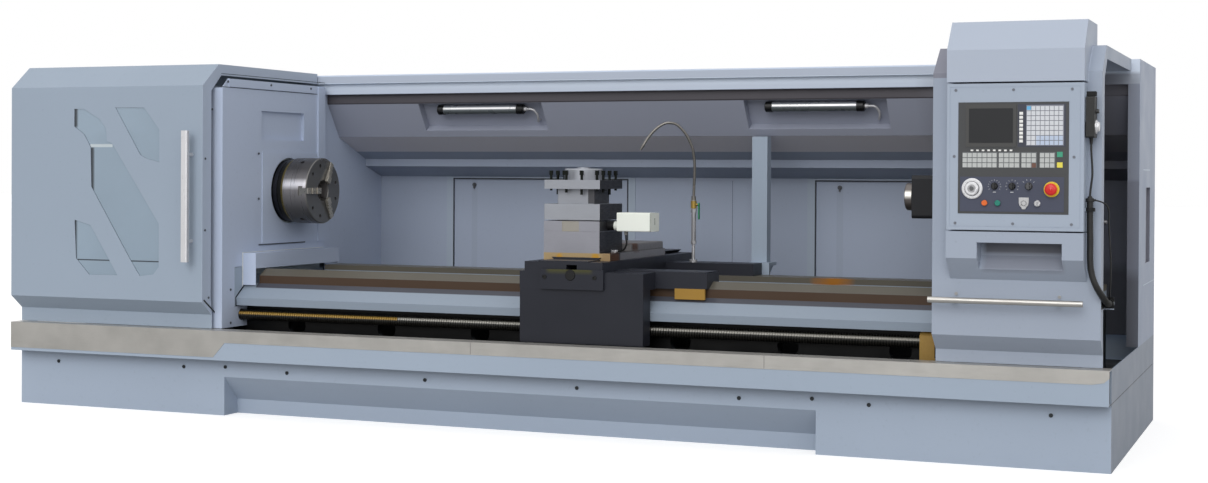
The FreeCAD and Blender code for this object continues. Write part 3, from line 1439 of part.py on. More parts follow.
def bolt_places():
    """Three clamp bolts on each side, set pinwheel fashion round the post."""
    reach = post_side / 2 - bolt_inset
    spots = []
    for turn in range(4):
        for step in range(3):
            a, b = -reach + step * bolt_pitch, -reach
            for _ in range(turn):
                a, b = -b, a
            spots.append((post_x + a, post_y + b))
    return spots


def make_tool_post_head():
    z0, seat, plate, top = head_heights()
    body = joined([square_block(post_side, z0, seat, 3), square_block(neck_side, seat, plate, 6),
                   square_block(post_side, plate, top, 3)])
    cap = Part.makeCone(cap_radius, cap_radius - 4, 6, V(post_x, post_y, top + cap_rise - 6))
    drum = rod_z(cap_radius, top, top + cap_rise - 6, post_x, post_y)
    nut = rod_z(30, top + cap_rise, top + cap_rise + 6, post_x, post_y)
    body = joined([body, drum, cap, nut])
    bore = rod_z(pivot_radius + fit, z0 - 1, riser_top + head_gap + head_plate + 60.3, post_x, post_y)
    holes = [rod_z(bolt_radius + 0.2, plate - 1, top + 1, x, y) for x, y in bolt_places()]
    return without(body, [bore] + holes)


def make_tool_post_bolts():
    """Square-headed clamp screws, as separate solids."""
    z0, seat, plate, top = head_heights()
    half = bolt_head / 2
    bolts = []
    for k, (x, y) in enumerate(bolt_places()):
        tip = plate - 8 - 9 * (k % 3)
        shank = rod_z(bolt_radius, tip, top + 30, x, y)
        head = block(x - half, x + half, y - half, y + half, top + 22, top + 42)
        bolts.append(joined([shank, head]))
    return Part.makeCompound(bolts)


def make_tool_post_motor():
    """The drive box that turns the tool post, with its shaft housing and cable gland."""
    x0 = post_x + post_side / 2 + motor_box_reach
    y0 = post_y - post_side / 2 + 50
    box = block(x0, x0 + motor_box_length, y0, y0 + motor_box_depth, motor_box_bottom,
                motor_box_bottom + motor_box_height)
    box = rounded(box, 5, V(1, 0, 0))
    z = motor_box_bottom + motor_box_height * 0.36
    neck = rod_x(20, x0 - motor_box_reach, x0 + 1, y0 + motor_box_depth / 2, riser_top - 21)
    slot = block(x0 + motor_box_length - 3, x0 + motor_box_length + 1, y0 + 48, y0 + 56, z, z + 30)
    gland = rod_z(8, motor_box_bottom - 16, motor_box_bottom + 1, x0 + 30, y0 + 35)
    return joined([box.cut(slot), neck, gland])


def motor_lead_route():
    """From the gland under the drive box down to the socket on the cross slide."""
    x = post_x + post_side / 2 + motor_box_reach + 30
    y = post_y - post_side / 2 + 85
    top = motor_box_bottom - 16
    return [V(x, y, top), V(x, y, top - 16), V(x + 5, y + 2, top - 34), V(x - 6, y + 8, slide_top + 22),
            V(x - 22, y + 14, slide_top + 9), V(x - 48, y + 18, slide_top + 7)]


def make_motor_lead():
    return hose(motor_lead_route(), 4, "motor_lead")


# ---- coolant -----------------------------------------------------------------------------------------------------------------------
def pipe_x():
    return saddle_left + pipe_offset


def pipe_y():
    return front + pipe_setback


def make_coolant_pipe():
    """A riser on the rear wing, its ball valve, and the bent hose that stays where it is put."""
    x, y = pipe_x(), pipe_y()
    foot = rod_z(19, wing_top + 8, wing_top + 20, x, y)
    riser = rod_z(pipe_radius, wing_top - 11, pipe_top + 1, x, y)
    valve = rod_z(valve_radius, pipe_top, pipe_top + valve_length, x, y)
    nut = rod_z(11, pipe_top + valve_length, pipe_top + valve_length + 22, x, y)
    start = pipe_top + valve_length + 20
    route = [V(x, y, start), V(x + 3, y - 2, start + 70), V(x + 8, y - 8, start + 150),
             V(x + 2, y - 24, start + 235), V(x - 26, y - 44, start + 300), V(x - 66, y - 66, start + 345),
             V(x - 112, y - 84, start + 350), V(x - 158, y - 98, start + 320), V(x - 190, y - 110, start + 280),
             V(x - 212, y - 120, start + 240)]
    tube = hose(route, hose_radius, "gooseneck")
    tip = route[-1] - route[-2]
    tip.normalize()
    nozzle = Part.makeCone(hose_radius + 1.5, 4, 26, route[-1] - tip * 2, tip)
    stub = rod_x(6, x, x + valve_radius + 8, y, pipe_top + valve_length / 2)
    return joined([foot, riser, valve, nut, tube, nozzle, stub])


def make_valve_lever():
    x = pipe_x() + valve_radius + 8 + gap
    y = pipe_y()
    z = pipe_top + valve_length / 2
    hub = rod_x(9, x, x + 7, y, z)
    blade = block(x + 2, x + 7, y - 7, y + 7, z - lever_length, z)
    blade = rounded(blade, 5, V(1, 0, 0), lambda c: c.z < z - lever_length / 2)
    return joined([hub, blade])


# ---- tailstock ----------------------------------------------------------------------------------------------------------------------------
def make_tailstock():
    x0 = left + tail_start
    x1 = x0 + tail_length
    foot_x0, foot_x1 = x0 + tail_overhang, x1 - tail_base_inset
    foot_top = way_height + tail_base_height
    foot = block(foot_x0, foot_x1, bed_front + 20, bed_back - 20, way_height - 2, foot_top)
    foot = foot.cut(block(foot_x0 - 1, foot_x1 + 1, axis_y - 150, axis_y + 120, way_height - 3, way_height + 30))
    waist = [(axis_y - 230, foot_top - 1), (axis_y - 150, foot_top + 70), (axis_y - tail_barrel + 4, axis_height - 30),
             (axis_y - tail_barrel + 4, axis_height), (axis_y + tail_barrel - 4, axis_height),
             (axis_y + tail_barrel - 4, axis_height - 30), (axis_y + 150, foot_top + 70),
             (axis_y + 230, foot_top - 1)]
    web = along_x(waist, foot_x0 + 15, foot_x1 - 15)
    barrel = block(x0, x1, axis_y - tail_barrel, axis_y + tail_barrel, axis_height - tail_barrel,
                   axis_height + tail_barrel)
    barrel = rounded(barrel, 16, V(1, 0, 0))
    flange = rod_x(quill_radius + 16, x0 - 6, x0 + 1, axis_y, axis_height)
    boss = rod_z(26, axis_height + tail_barrel - 10, axis_height + tail_barrel + 12, x0 + 110, axis_y)
    ways = [along_x(way_outline(gap), foot_x0 - 5, foot_x1 + 5), along_x(rear_way_outline(gap), foot_x0 - 5, foot_x1 + 5)]
    bore = rod_x(quill_radius + fit, x0 - 7, x1 - 120, axis_y, axis_height)
    shaft_hole = rod_x(16 + fit, x1 - 121, x1 + 1, axis_y, axis_height)
    lever_hole = rod_z(10 + fit, axis_height + tail_barrel - 30, axis_height + tail_barrel + 13, x0 + 110, axis_y)
    return without(joined([foot, web, barrel, flange, boss]), ways + [bore, shaft_hole, lever_hole])


def make_quill():
    x0 = left + tail_start - quill_proud
    x1 = left + tail_start + tail_length - 360
    depth = x0 + taper_depth
    profile = [(depth, 0), (depth, taper_small), (x0, taper_large), (x0, quill_radius - 4),
               (x0 + 4, quill_radius), (x1, quill_radius), (x1, 0)]
    return turned_x(profile, axis_y, axis_height)


def make_tail_wheel():
    """The quill's handwheel: hub, rim, three spokes and the crank grip at the bottom."""
    x = left + tail_start + tail_length
    middle = x + wheel_gap
    ring = Part.makeTorus(wheel_radius - wheel_rim, wheel_rim, V(middle, axis_y, axis_height), V(1, 0, 0))
    hub = rod_x(26, x + gap, middle + 14, axis_y, axis_height)
    shaft = rod_x(16, x - 60, x + 2, axis_y, axis_height)
    spokes = []
    for a in (-90, 30, 150):
        spoke = rod_z(8, axis_height + 10, axis_height + wheel_radius - wheel_rim, middle, axis_y)
        spoke.rotate(V(middle, axis_y, axis_height), V(1, 0, 0), a - 90)
        spokes.append(spoke)
    low = axis_height - wheel_radius + wheel_rim
    grip = turned_x([(middle, 0), (middle, 6), (middle + 14, 6), (middle + 16, 9), (middle + crank_length - 20, 11),
                     (middle + crank_length - 4, 9), (middle + crank_length, 4), (middle + crank_length, 0)],
                    axis_y, low)
    return joined([ring, hub, shaft, grip] + spokes)


def make_tail_lever():
    """The lever that locks the quill, on top of the barrel."""
    x = left + tail_start + 110
    z = axis_height + tail_barrel + 12 + gap
    hub = rod_z(20, z, z + 26, x, axis_y)
    pin = rod_z(10, z - 36, z + 1, x, axis_y)
    arm = rod_x(8, x, x + 150, axis_y, z + 14)
    ball = Part.makeSphere(15, V(x + 158, axis_y, z + 14))
    return joined([hub, pin, arm, ball])


# ---- write every piece ------------------------------------------------------------------------------------------------------------------
def main():
    save(make_base(), "base_frame")
    save(make_tray(), "chip_tray")
    save(make_sill(), "stainless_sill")
    save(make_bed(), "bed")
    save(make_z_bracket(), "z_bearing_bracket")
    save(make_z_servo(), "z_servo_motor")
    save(make_z_screw(), "z_screw")
    save(make_headstock(), "headstock")
    save(make_headstock_cover(), "headstock_cover")
    save(make_spindle(), "spindle")
    save(make_chuck(), "chuck_body")
    for number, (y, z) in enumerate(jaw_directions(), 1):
        save(make_jaw(y, z), "chuck_jaw_%d" % number)
    save(make_spindle_motor(), "spindle_motor")
    save(make_motor_pulley(), "motor_pulley")
    save(make_belt(), "drive_belt")
    save(make_rear_guard(), "rear_guard")
    for name, x in zip(("rear_door_left", "rear_door_right"), rear_doors()):
        save(make_rear_door(x), name)
    save(Part.makeCompound([make_lamp(left + x) for x in (left_lamp_start, right_lamp_start)]), "work_lamps")
    save(make_cabinet(), "electrical_cabinet")
    save(make_cabinet_door(), "cabinet_door")
    save(make_sliding_door(), "sliding_door")
    save(make_window(), "door_window")
    save(make_door_grip(), "door_handle")
    save(make_station(), "control_station")
    save(make_station_bar(), "station_handle")
    save(make_panel_box(), "panel_box")
    save(make_control_panel(), "control_panel")
    save(make_mpg_dial(), "mpg_dial")
    save(make_knob("feed_knob", knob_radius, 20), "feed_knob")
    save(make_knob("speed_knob", knob_radius, 20), "speed_knob")
    save(make_knob("mode_knob", knob_radius + 1, 22), "mode_knob")
    save(make_stop_button(), "stop_button")
    save(make_push_button("orange_button", button_radius, 8), "orange_button")
    save(make_push_button("green_button", button_radius, 8), "green_button")
    save(make_key_switch(), "key_switch")
    save(make_pendant(), "pendant")
    save(make_pendant_dial(), "pendant_dial")
    save(make_pendant_knob(), "pendant_knob")
    save(Part.makeCompound([joined([make_pendant_cord(), make_conduit_collar()]), make_loop_lead()]), "pendant_cord")
    save(make_conduit(), "cable_conduit")
    save(joined([make_saddle(), make_end_plate()]), "saddle")
    save(make_apron(), "apron")
    save(make_cable_post(), "cable_post")
    save(make_x_screw(), "x_screw")
    save(make_x_servo(), "x_servo_motor")
    save(make_cross_slide(), "cross_slide")
    save(make_tool_post_base(), "tool_post_base")
    save(make_tool_post_head(), "tool_post_head")
    save(make_tool_post_bolts(), "tool_post_bolts")
    save(make_tool_post_motor(), "tool_post_motor")
    save(make_motor_lead(), "motor_lead")
    save(make_coolant_pipe(), "coolant_pipe")
    save(make_valve_lever(), "valve_lever")
    save(make_tailstock(), "tailstock_body")
    save(make_quill(), "quill")
    save(make_tail_wheel(), "tail_handwheel")
    save(make_tail_lever(), "quill_lock_lever")


main()
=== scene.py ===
"""Looks for a flat-bed turning lathe: paint, metals, the operator's panel, hoses, light and camera."""
from math import ceil, pi, radians

import bmesh
import bpy
from mathutils import Matrix, Vector


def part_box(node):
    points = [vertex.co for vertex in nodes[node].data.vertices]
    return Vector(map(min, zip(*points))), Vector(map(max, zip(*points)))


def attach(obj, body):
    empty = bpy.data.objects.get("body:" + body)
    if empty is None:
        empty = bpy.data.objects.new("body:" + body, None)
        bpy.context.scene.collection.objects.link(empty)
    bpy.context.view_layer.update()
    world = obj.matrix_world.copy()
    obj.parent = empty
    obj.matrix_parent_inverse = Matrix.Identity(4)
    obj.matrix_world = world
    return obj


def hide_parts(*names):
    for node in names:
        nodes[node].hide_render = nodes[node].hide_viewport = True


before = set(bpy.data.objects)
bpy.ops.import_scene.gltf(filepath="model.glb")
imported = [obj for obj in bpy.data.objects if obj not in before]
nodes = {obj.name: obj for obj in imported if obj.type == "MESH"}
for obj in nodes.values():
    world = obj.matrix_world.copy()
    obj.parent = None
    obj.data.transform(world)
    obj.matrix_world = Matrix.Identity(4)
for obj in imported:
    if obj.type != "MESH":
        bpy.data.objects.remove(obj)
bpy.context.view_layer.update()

# ---- colours of the finishes, as they look in daylight, some of them lightened or darkened as painted light and shade (red, green, blue from 0 to 1, sRGB) ----
PAINT_GREY = (0.602, 0.652, 0.712)
GUARD_GREY = (0.628, 0.666, 0.738)
# Painted light: the cover's grey, lightened to make up for the shade inside the guard.
LIGHTENED_COVER_GREY = (0.725, 0.77, 0.853)
BASE_GREY = (0.642, 0.69, 0.756)
TRAY_GREY = (0.627, 0.678, 0.741)
STATION_GREY = (0.628, 0.665, 0.725)
BED_GREY = (0.557, 0.603, 0.659)
# Painted shade: the darker grey of the base's and tray's right end faces, which face away from the light.
SHADED_END_GREY = (0.576, 0.606, 0.655)
STAINLESS = (0.715, 0.706, 0.688)
BRIGHT_STEEL = (0.86, 0.86, 0.87)
CHARCOAL = (0.155, 0.162, 0.192)
MACHINED = (0.583, 0.585, 0.617)
SHADED_STEEL = (0.205, 0.205, 0.225)
WAY_TOP = (0.365, 0.35, 0.315)
WAY_FACE = (0.275, 0.212, 0.165)
WAY_STEP = (0.285, 0.292, 0.325)
# Painted shade: black under the bed's rail and inside the tray.
SHADE_BLACK = (0.045, 0.047, 0.05)
SCREW_STEEL = (0.17, 0.165, 0.15)
GREASE = (0.6, 0.48, 0.24)
OIL_BROWN = (0.4, 0.25, 0.12)
BLACK = (0.06, 0.063, 0.07)
CREAM = (0.925, 0.94, 0.908)
BRASS = (0.64, 0.53, 0.26)
CHROME = (0.76, 0.76, 0.77)

# ---- places that the pieces are hung on (metres) ----
DOOR_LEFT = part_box("sliding_door")[0].x
DOOR_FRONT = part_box("door_window")[0].y - 0.002
PANEL_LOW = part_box("control_panel")[0]
PANEL_LEFT = PANEL_LOW.x - 0.0003
PANEL_BOTTOM = PANEL_LOW.z - 0.0003
PANEL_FACE = -1.016
KEY_FACE = PANEL_FACE - 0.0008
PLATE_FACE = PANEL_FACE - 0.0012
PARTITION = -1.46
WALL = 0.735
SLIDE_TOP = 0.7943
OPEN = (None, None, None)


def middle_of(node):
    """The middle of a node's box."""
    low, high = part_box(node)
    return (low.x + high.x) / 2, (low.y + high.y) / 2, (low.z + high.z) / 2


def linear(colour):
    """The shader's own scale for a colour as it looks."""
    return tuple(c / 12.92 if c <= 0.04045 else ((c + 0.055) / 1.055) ** 2.4 for c in colour) + (1.0,)


def shade(colour, share):
    """A darker or lighter colour of the same hue."""
    return tuple(min(1.0, c * share) for c in colour)


# ---- node helpers ----
def add(tree, kind, **settings):
    """A new node; settings name its own fields, and its inputs by their label with _ for a space."""
    made = tree.nodes.new(kind)
    for name, value in settings.items():
        if hasattr(made, name):
            setattr(made, name, value)
        else:
            made.inputs[name.replace("_", " ")].default_value = value
    return made


def blank_material(name):
    material = bpy.data.materials.new(name)
    material.use_nodes = True
    tree = material.node_tree
    shader = tree.nodes["Principled BSDF"]
    place = add(tree, "ShaderNodeTexCoord").outputs["Object"]
    return material, tree, shader, place


def noise(tree, place, scale, detail=3.0, stretch=None):
    """Noise over the piece, drawn out along an axis where stretch is given."""
    if stretch:
        mapping = add(tree, "ShaderNodeMapping", Scale=stretch)
        tree.links.new(place, mapping.inputs["Vector"])
        place = mapping.outputs["Vector"]
    made = add(tree, "ShaderNodeTexNoise", Scale=scale, Detail=detail)
    tree.links.new(place, made.inputs["Vector"])
    return made.outputs["Fac"]


def spread(tree, value, low, high, start=0.3, end=0.7):
    """A value brought from its own range to the one a socket wants."""
    made = add(tree, "ShaderNodeMapRange", From_Min=start, From_Max=end, To_Min=low, To_Max=high)
    tree.links.new(value, made.inputs["Value"])
    return made.outputs["Result"]


def blend(tree, share, first, second):
    """Two colours, or colour sockets, mixed by a share."""
    made = add(tree, "ShaderNodeMix", data_type="RGBA")
    for socket, colour in ((made.inputs[6], first), (made.inputs[7], second)):
        if isinstance(colour, tuple):
            socket.default_value = colour
        else:
            tree.links.new(colour, socket)
    tree.links.new(share, made.inputs[0])
    return made.outputs[2]


def bump(tree, shader, height, distance, strength):
    made = add(tree, "ShaderNodeBump", Distance=distance, Strength=strength)
    tree.links.new(height, made.inputs["Height"])
    tree.links.new(made.outputs["Normal"], shader.inputs["Normal"])


def math(tree, kind, *values):
    made = add(tree, "ShaderNodeMath", operation=kind)
    for socket, value in zip(made.inputs, values):
        if isinstance(value, (int, float)):
            socket.default_value = value
        else:
            tree.links.new(value, socket)
    return made.outputs[0]


def vector_math(tree, kind, first, second=None):
    """A vector node's result: a number for LENGTH and DISTANCE, a vector for the others."""
    made = add(tree, "ShaderNodeVectorMath", operation=kind)
    tree.links.new(first, made.inputs[0])
    if second:
        made.inputs[1].default_value = second
    return made.outputs["Value" if kind in ("LENGTH", "DISTANCE") else "Vector"]


# ---- regions of a surface: each gives 1 inside it and 0 outside ----
def box_zone(low, high, colour, soft=0.0006):
    """A region between two corners, None being open; soft is its edges' width, or one for each axis."""
    widths = soft if isinstance(soft, tuple) else (soft, soft, soft)

    def share(tree, place):
        axes = add(tree, "ShaderNodeSeparateXYZ")
        tree.links.new(place, axes.inputs[0])
        found = None
        for axis, width in enumerate(widths):
            for limit, sign in ((low[axis], 1), (high[axis], -1)):
                if limit is None:
                    continue
                slope = sign / (2 * width)
                start = 0.5 - sign * limit / (2 * width)
                edge = math(tree, "MULTIPLY_ADD", axes.outputs[axis], slope, start)
                edge.node.use_clamp = True
                found = edge if found is None else math(tree, "MULTIPLY", found, edge)
        return found
    return share, colour


def slab_zone(colour, soft=0.0006, left=None, right=None, bottom=None, top=None):
    """A region that runs through the whole depth; a side that isn't given stays open."""
    return box_zone((left, None, bottom), (right, None, top), colour, soft)


def ring_zone(centre, inner, outer, colour):
    """A region between two radii, seen from the front."""
    def share(tree, place):
        moved = vector_math(tree, "SUBTRACT", place, centre)
        away = vector_math(tree, "LENGTH", vector_math(tree, "MULTIPLY", moved, (1, 0, 1)))
        over = math(tree, "GREATER_THAN", away, inner)
        return math(tree, "MULTIPLY", over, math(tree, "LESS_THAN", away, outer))
    return share, colour


def stain_zone(centre, reach, colour, scale):
    """A soft stain about a centre, its edge broken up by noise."""
    def share(tree, place):
        away = vector_math(tree, "DISTANCE", place, centre)
        ragged = math(tree, "MULTIPLY_ADD", noise(tree, place, scale, 4.0), reach * 1.2, away)
        return spread(tree, ragged, 1.0, 0.0, reach, reach * 1.7)
    return share, colour


# ---- finishes ----
def coat(tree, shader, place, surface, zones, gloss):
    """Gives a shader its colour, with the zones over it, and its gloss."""
    for share, colour in zones:
        surface = blend(tree, share(tree, place), surface, linear(colour))
    tree.links.new(surface, shader.inputs["Base Color"])
    tree.links.new(gloss, shader.inputs["Roughness"])


def paint(name, colour, roughness=0.45, zones=()):
    """Sprayed machine paint: faint orange peel, uneven gloss and a little dust."""
    material, tree, shader, place = blank_material(name)
    dust = spread(tree, noise(tree, place, 1.1, 5.0), 0.0, 0.5)
    surface = blend(tree, dust, linear(shade(colour, 1.015)), linear(shade(colour, 0.965)))
    specks = spread(tree, noise(tree, place, 60.0, 4.0), 0.0, 0.25, 0.62, 0.8)
    surface = blend(tree, specks, surface, linear(shade(colour, 0.82)))
    gloss = spread(tree, noise(tree, place, 5.0), roughness - 0.06, roughness + 0.1)
    coat(tree, shader, place, surface, zones, gloss)
    bump(tree, shader, noise(tree, place, 420.0, 2.0), 0.0002, 0.25)
    shader.inputs["Specular IOR Level"].default_value = 0.22
    return material


def metal(name, colour, roughness=0.3, grain=None, scale=120.0, metallic=1.0, zones=(), wear=0.25,
          depth=0.00003):
    """Worked metal: a grain drawn out along one axis, and patches where oil has dulled it."""
    material, tree, shader, place = blank_material(name)
    oil = spread(tree, noise(tree, place, 7.0, 4.0), 0.0, wear)
    surface = blend(tree, oil, linear(colour), linear(shade(colour, 0.72)))
    lines = noise(tree, place, scale, 4.0, grain)
    coat(tree, shader, place, surface, zones, spread(tree, lines, roughness - 0.08, roughness + 0.12))
    bump(tree, shader, lines, depth, 0.4)
    shader.inputs["Metallic"].default_value = metallic
    return material


def moulded(name, colour, roughness, grain=700.0):
    """Moulded plastic with a fine spark-eroded grain."""
    material, tree, shader, place = blank_material(name)
    patches = spread(tree, noise(tree, place, 25.0), 0.0, 0.3)
    surface = blend(tree, patches, linear(colour), linear(shade(colour, 0.85)))
    gloss = spread(tree, noise(tree, place, 40.0), roughness - 0.05, roughness + 0.08)
    coat(tree, shader, place, surface, (), gloss)
    bump(tree, shader, noise(tree, place, grain, 2.0), 0.00015, 0.4)
    return material


def clear_sheet(name, tint, zones=()):
    """The door's clear sheet: its tint, fine scratches and a patchy film of dried coolant."""
    material, tree, shader, place = blank_material(name)
    film = spread(tree, noise(tree, place, 3.0, 5.0), 0.0, 0.4)
    surface = blend(tree, film, linear(tint), linear(shade(tint, 0.93)))
    scratches = spread(tree, noise(tree, place, 90.0, 5.0, (1, 1, 8)), 0.12, 0.22)
    coat(tree, shader, place, surface, zones, scratches)
    shader.inputs["Transmission Weight"].default_value = 0.25
    shader.inputs["IOR"].default_value = 1.49
    return material


def threaded(name, colour, pitch, axis, zones=()):
    """A screw's thread as a wave along its axis, with dark oil in its grooves."""
    material, tree, shader, place = blank_material(name)
    wave = add(tree, "ShaderNodeTexWave", bands_direction=axis, Scale=0.31416 / pitch)
    tree.links.new(place, wave.inputs["Vector"])
    surface = blend(tree, spread(tree, wave.outputs["Fac"], 0.0, 1.0, 0.15, 0.85),
                    linear(shade(colour, 0.25)), linear(colour))
    coat(tree, shader, place, surface, zones, spread(tree, noise(tree, place, 30.0), 0.28, 0.45))
    bump(tree, shader, wave.outputs["Fac"], 0.003, 0.8)
    shader.inputs["Metallic"].default_value = 0.35
    return material


def dress(finish, *names):
    """Gives CAD nodes their finish."""
    for name in names:
        data = nodes[name].data
        if data.materials:
            for slot in nodes[name].material_slots:
                slot.material = finish
        else:
            data.materials.append(finish)


# ---- mesh helpers ----
def new_object(name, data):
    made = bpy.data.objects.new(name, data)
    bpy.context.scene.collection.objects.link(made)
    return made


def piece(name, mesh, finish, body, smooth=False):
    """A finished piece from a bmesh: it rides on a body and takes a slot's finish."""
    data = bpy.data.meshes.new(name)
    bmesh.ops.recalc_face_normals(mesh, faces=mesh.faces)
    mesh.to_mesh(data)
    mesh.free()
    made = new_object(name, data)
    data.materials.append(finish)
    for polygon in data.polygons:
        polygon.use_smooth = smooth
    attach(made, body)
    return made


def edges_of(verts):
    """The edges at some vertices, each of them once."""
    return list(dict.fromkeys(e for v in verts for e in v.link_edges))


def round_edges(mesh, edges, bevel):
    bmesh.ops.bevel(mesh, geom=edges, offset=bevel, offset_type="OFFSET", segments=2, profile=0.5,
                    affect="EDGES", material=-1)


def draw_out(mesh, faces, depth):
    """Extrudes faces by a depth, and gives the vertices that moved."""
    made = bmesh.ops.extrude_face_region(mesh, geom=faces)
    moved = [item for item in made["geom"] if isinstance(item, bmesh.types.BMVert)]
    bmesh.ops.translate(mesh, verts=moved, vec=depth)
    return moved


def add_box(mesh, low, high, bevel=0.0):
    """A box between two corners, its edges rounded."""
    size = [b - a for a, b in zip(low, high)]
    middle = [(a + b) / 2 for a, b in zip(low, high)]
    matrix = Matrix.Translation(middle) @ Matrix.Diagonal((*size, 1.0))
    made = bmesh.ops.create_cube(mesh, size=1.0, matrix=matrix)
    if bevel:
        round_edges(mesh, edges_of(made["verts"]), bevel)


def box_piece(name, boxes, finish, body, bevel=0.0):
    """A piece made of boxes, each between two corners."""
    mesh = bmesh.new()
    for low, high in boxes:
        add_box(mesh, low, high, bevel)
    return piece(name, mesh, finish, body)


TURNS = {"X": Matrix.Rotation(pi / 2, 4, "Y"), "Y": Matrix.Rotation(pi / 2, 4, "X"), "Z": Matrix.Identity(4)}


def add_disc(mesh, centre, radius, depth, axis="Y", sides=20, bevel=0.0, top=None):
    """A short round bar about its middle, its rims rounded; top gives a taper. Gives the bar's vertices."""
    made = bmesh.ops.create_cone(mesh, cap_ends=True, segments=sides, radius1=radius, radius2=top or radius,
                                 depth=depth, matrix=Matrix.Translation(centre) @ TURNS[axis])
    if bevel:
        rims = [e for e in edges_of(made["verts"]) if any(len(f.verts) > 4 for f in e.link_faces)]
        round_edges(mesh, rims, bevel)
    return made["verts"]


def add_plate(mesh, corners, depth, bevel=0.0):
    """A flat plate with any outline, drawn from its front face by the depth."""
    front = [mesh.verts.new(corner) for corner in corners]
    moved = draw_out(mesh, [mesh.faces.new(front)], depth)
    if bevel:
        rim = [e for e in edges_of(front) if not any(w in moved for w in e.verts)]
        round_edges(mesh, rim, bevel)


OUTWARD = {"X": Vector((1, 0, 0)), "Y": Vector((0, -1, 0))}


def socket_screws(name, places, radius, finish, body, axis="Y", proud=0.003):
    """Round screw heads with a hexagon socket, standing on a face."""
    mesh = bmesh.new()
    for place in places:
        head = add_disc(mesh, Vector(place) + OUTWARD[axis] * proud / 2, radius, proud, axis, 12)
        outer = max((f for v in head for f in v.link_faces if len(f.verts) > 4),
                    key=lambda f: f.calc_center_median().dot(OUTWARD[axis]))
        bmesh.ops.inset_region(mesh, faces=[outer], thickness=radius * 0.45)
        draw_out(mesh, [outer], -OUTWARD[axis] * proud * 0.7)
        bmesh.ops.delete(mesh, geom=[outer], context="FACES_ONLY")
    return piece(name, mesh, finish, body)


# ---- materials for the CAD nodes ----
DOOR_STARTS = (-1.024, 0.999)
DOOR_WIDTH = 1.009
CAP_FRONT = 0.132


def guard_light_and_shade():
    """Painted light and shade on the guard: painted shade on the lamp panel, under the cap, in the door gaps
    and in the corner behind the station; the cap, the rail, the band under the lamps, the door frames and the
    vent lightened as painted light.
    """
    low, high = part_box("rear_guard")
    left, right = low.x + 0.01, high.x - 0.05
    # Painted shade on the lamp panel, which faces down, and painted light on the band under it, which lies in
    # the panel's shade.
    shaded_lamp_panel = box_zone((left, CAP_FRONT + 0.01, 1.33), (right, WALL - 0.01, 1.549), (0.602, 0.62, 0.68))
    lightened_under_lamps = box_zone((left, CAP_FRONT + 0.1, 1.2588), (right, WALL + 0.001, 1.3325),
                           (0.86, 0.85, 0.875))
    zones = [shaded_lamp_panel, lightened_under_lamps]
    # Painted light on the cap's front and on the rail's front and underside, and painted shade on the band
    # under the cap.
    before, behind = CAP_FRONT - 0.001, CAP_FRONT + 0.001
    for near, far, bottom, top, colour, soft in (
            (before, behind, 1.552, None, (0.76, 0.8, 0.86), 0.0006),
            (before, behind, 1.574, None, (0.895, 0.935, 0.99), 0.008),
            (None, before, 1.6035, None, (0.7, 0.735, 0.795), 0.0006),
            (None, before, 1.6035, 1.6068, (0.86, 0.91, 0.97), 0.0006),
            (CAP_FRONT + 0.02, CAP_FRONT + 0.034, 1.5, 1.551, (0.31, 0.3, 0.32), 0.0006)):
        zones.append(box_zone((None, near, bottom), (None, far, top), colour, soft))
    # The vent's recessed panel, lightened as painted light against the shade in its recess.
    vent = (high.x - 0.016, 0.42, 0.75), (high.x - 0.0025, 0.62, 1.11)
    zones.append(box_zone(*vent, (0.6, 0.606, 0.655), 0.001))
    # Round each rear door: a frame lightened as painted light, and dark painted shade in the gap beside the
    # door.
    inner, outer = WALL - 0.006, WALL - 0.0005
    for start in DOOR_STARTS:
        end = start + DOOR_WIDTH
        for margin, top, colour in ((0.045, None, (0.645, 0.69, 0.748)),
                                    (0.006, 1.1205, (0.215, 0.225, 0.25))):
            zones.append(box_zone((start - margin, inner, None), (end + margin, outer, top), colour))
    # Painted shadow in the corner behind the station, fading out to the left and darker lower down.
    corner, end, fade = 1.8, high.x - 0.012, 0.18
    for top, colour, edge in ((1.6, (0.41, 0.41, 0.44), 0.008), (1.13, (0.385, 0.39, 0.435), 0.008),
                              (0.72, (0.22, 0.225, 0.24), 0.03)):
        zones.append(box_zone((corner, 0.1, None), (end, WALL + 0.001, top), colour, (fade, 0.008, edge)))
    zones.append(box_zone((None, WALL + 0.0015, None), OPEN, GUARD_GREY, 0.0004))
    zones.append(slab_zone(GUARD_GREY, 0.0003, left=high.x - 0.0008))
    return zones


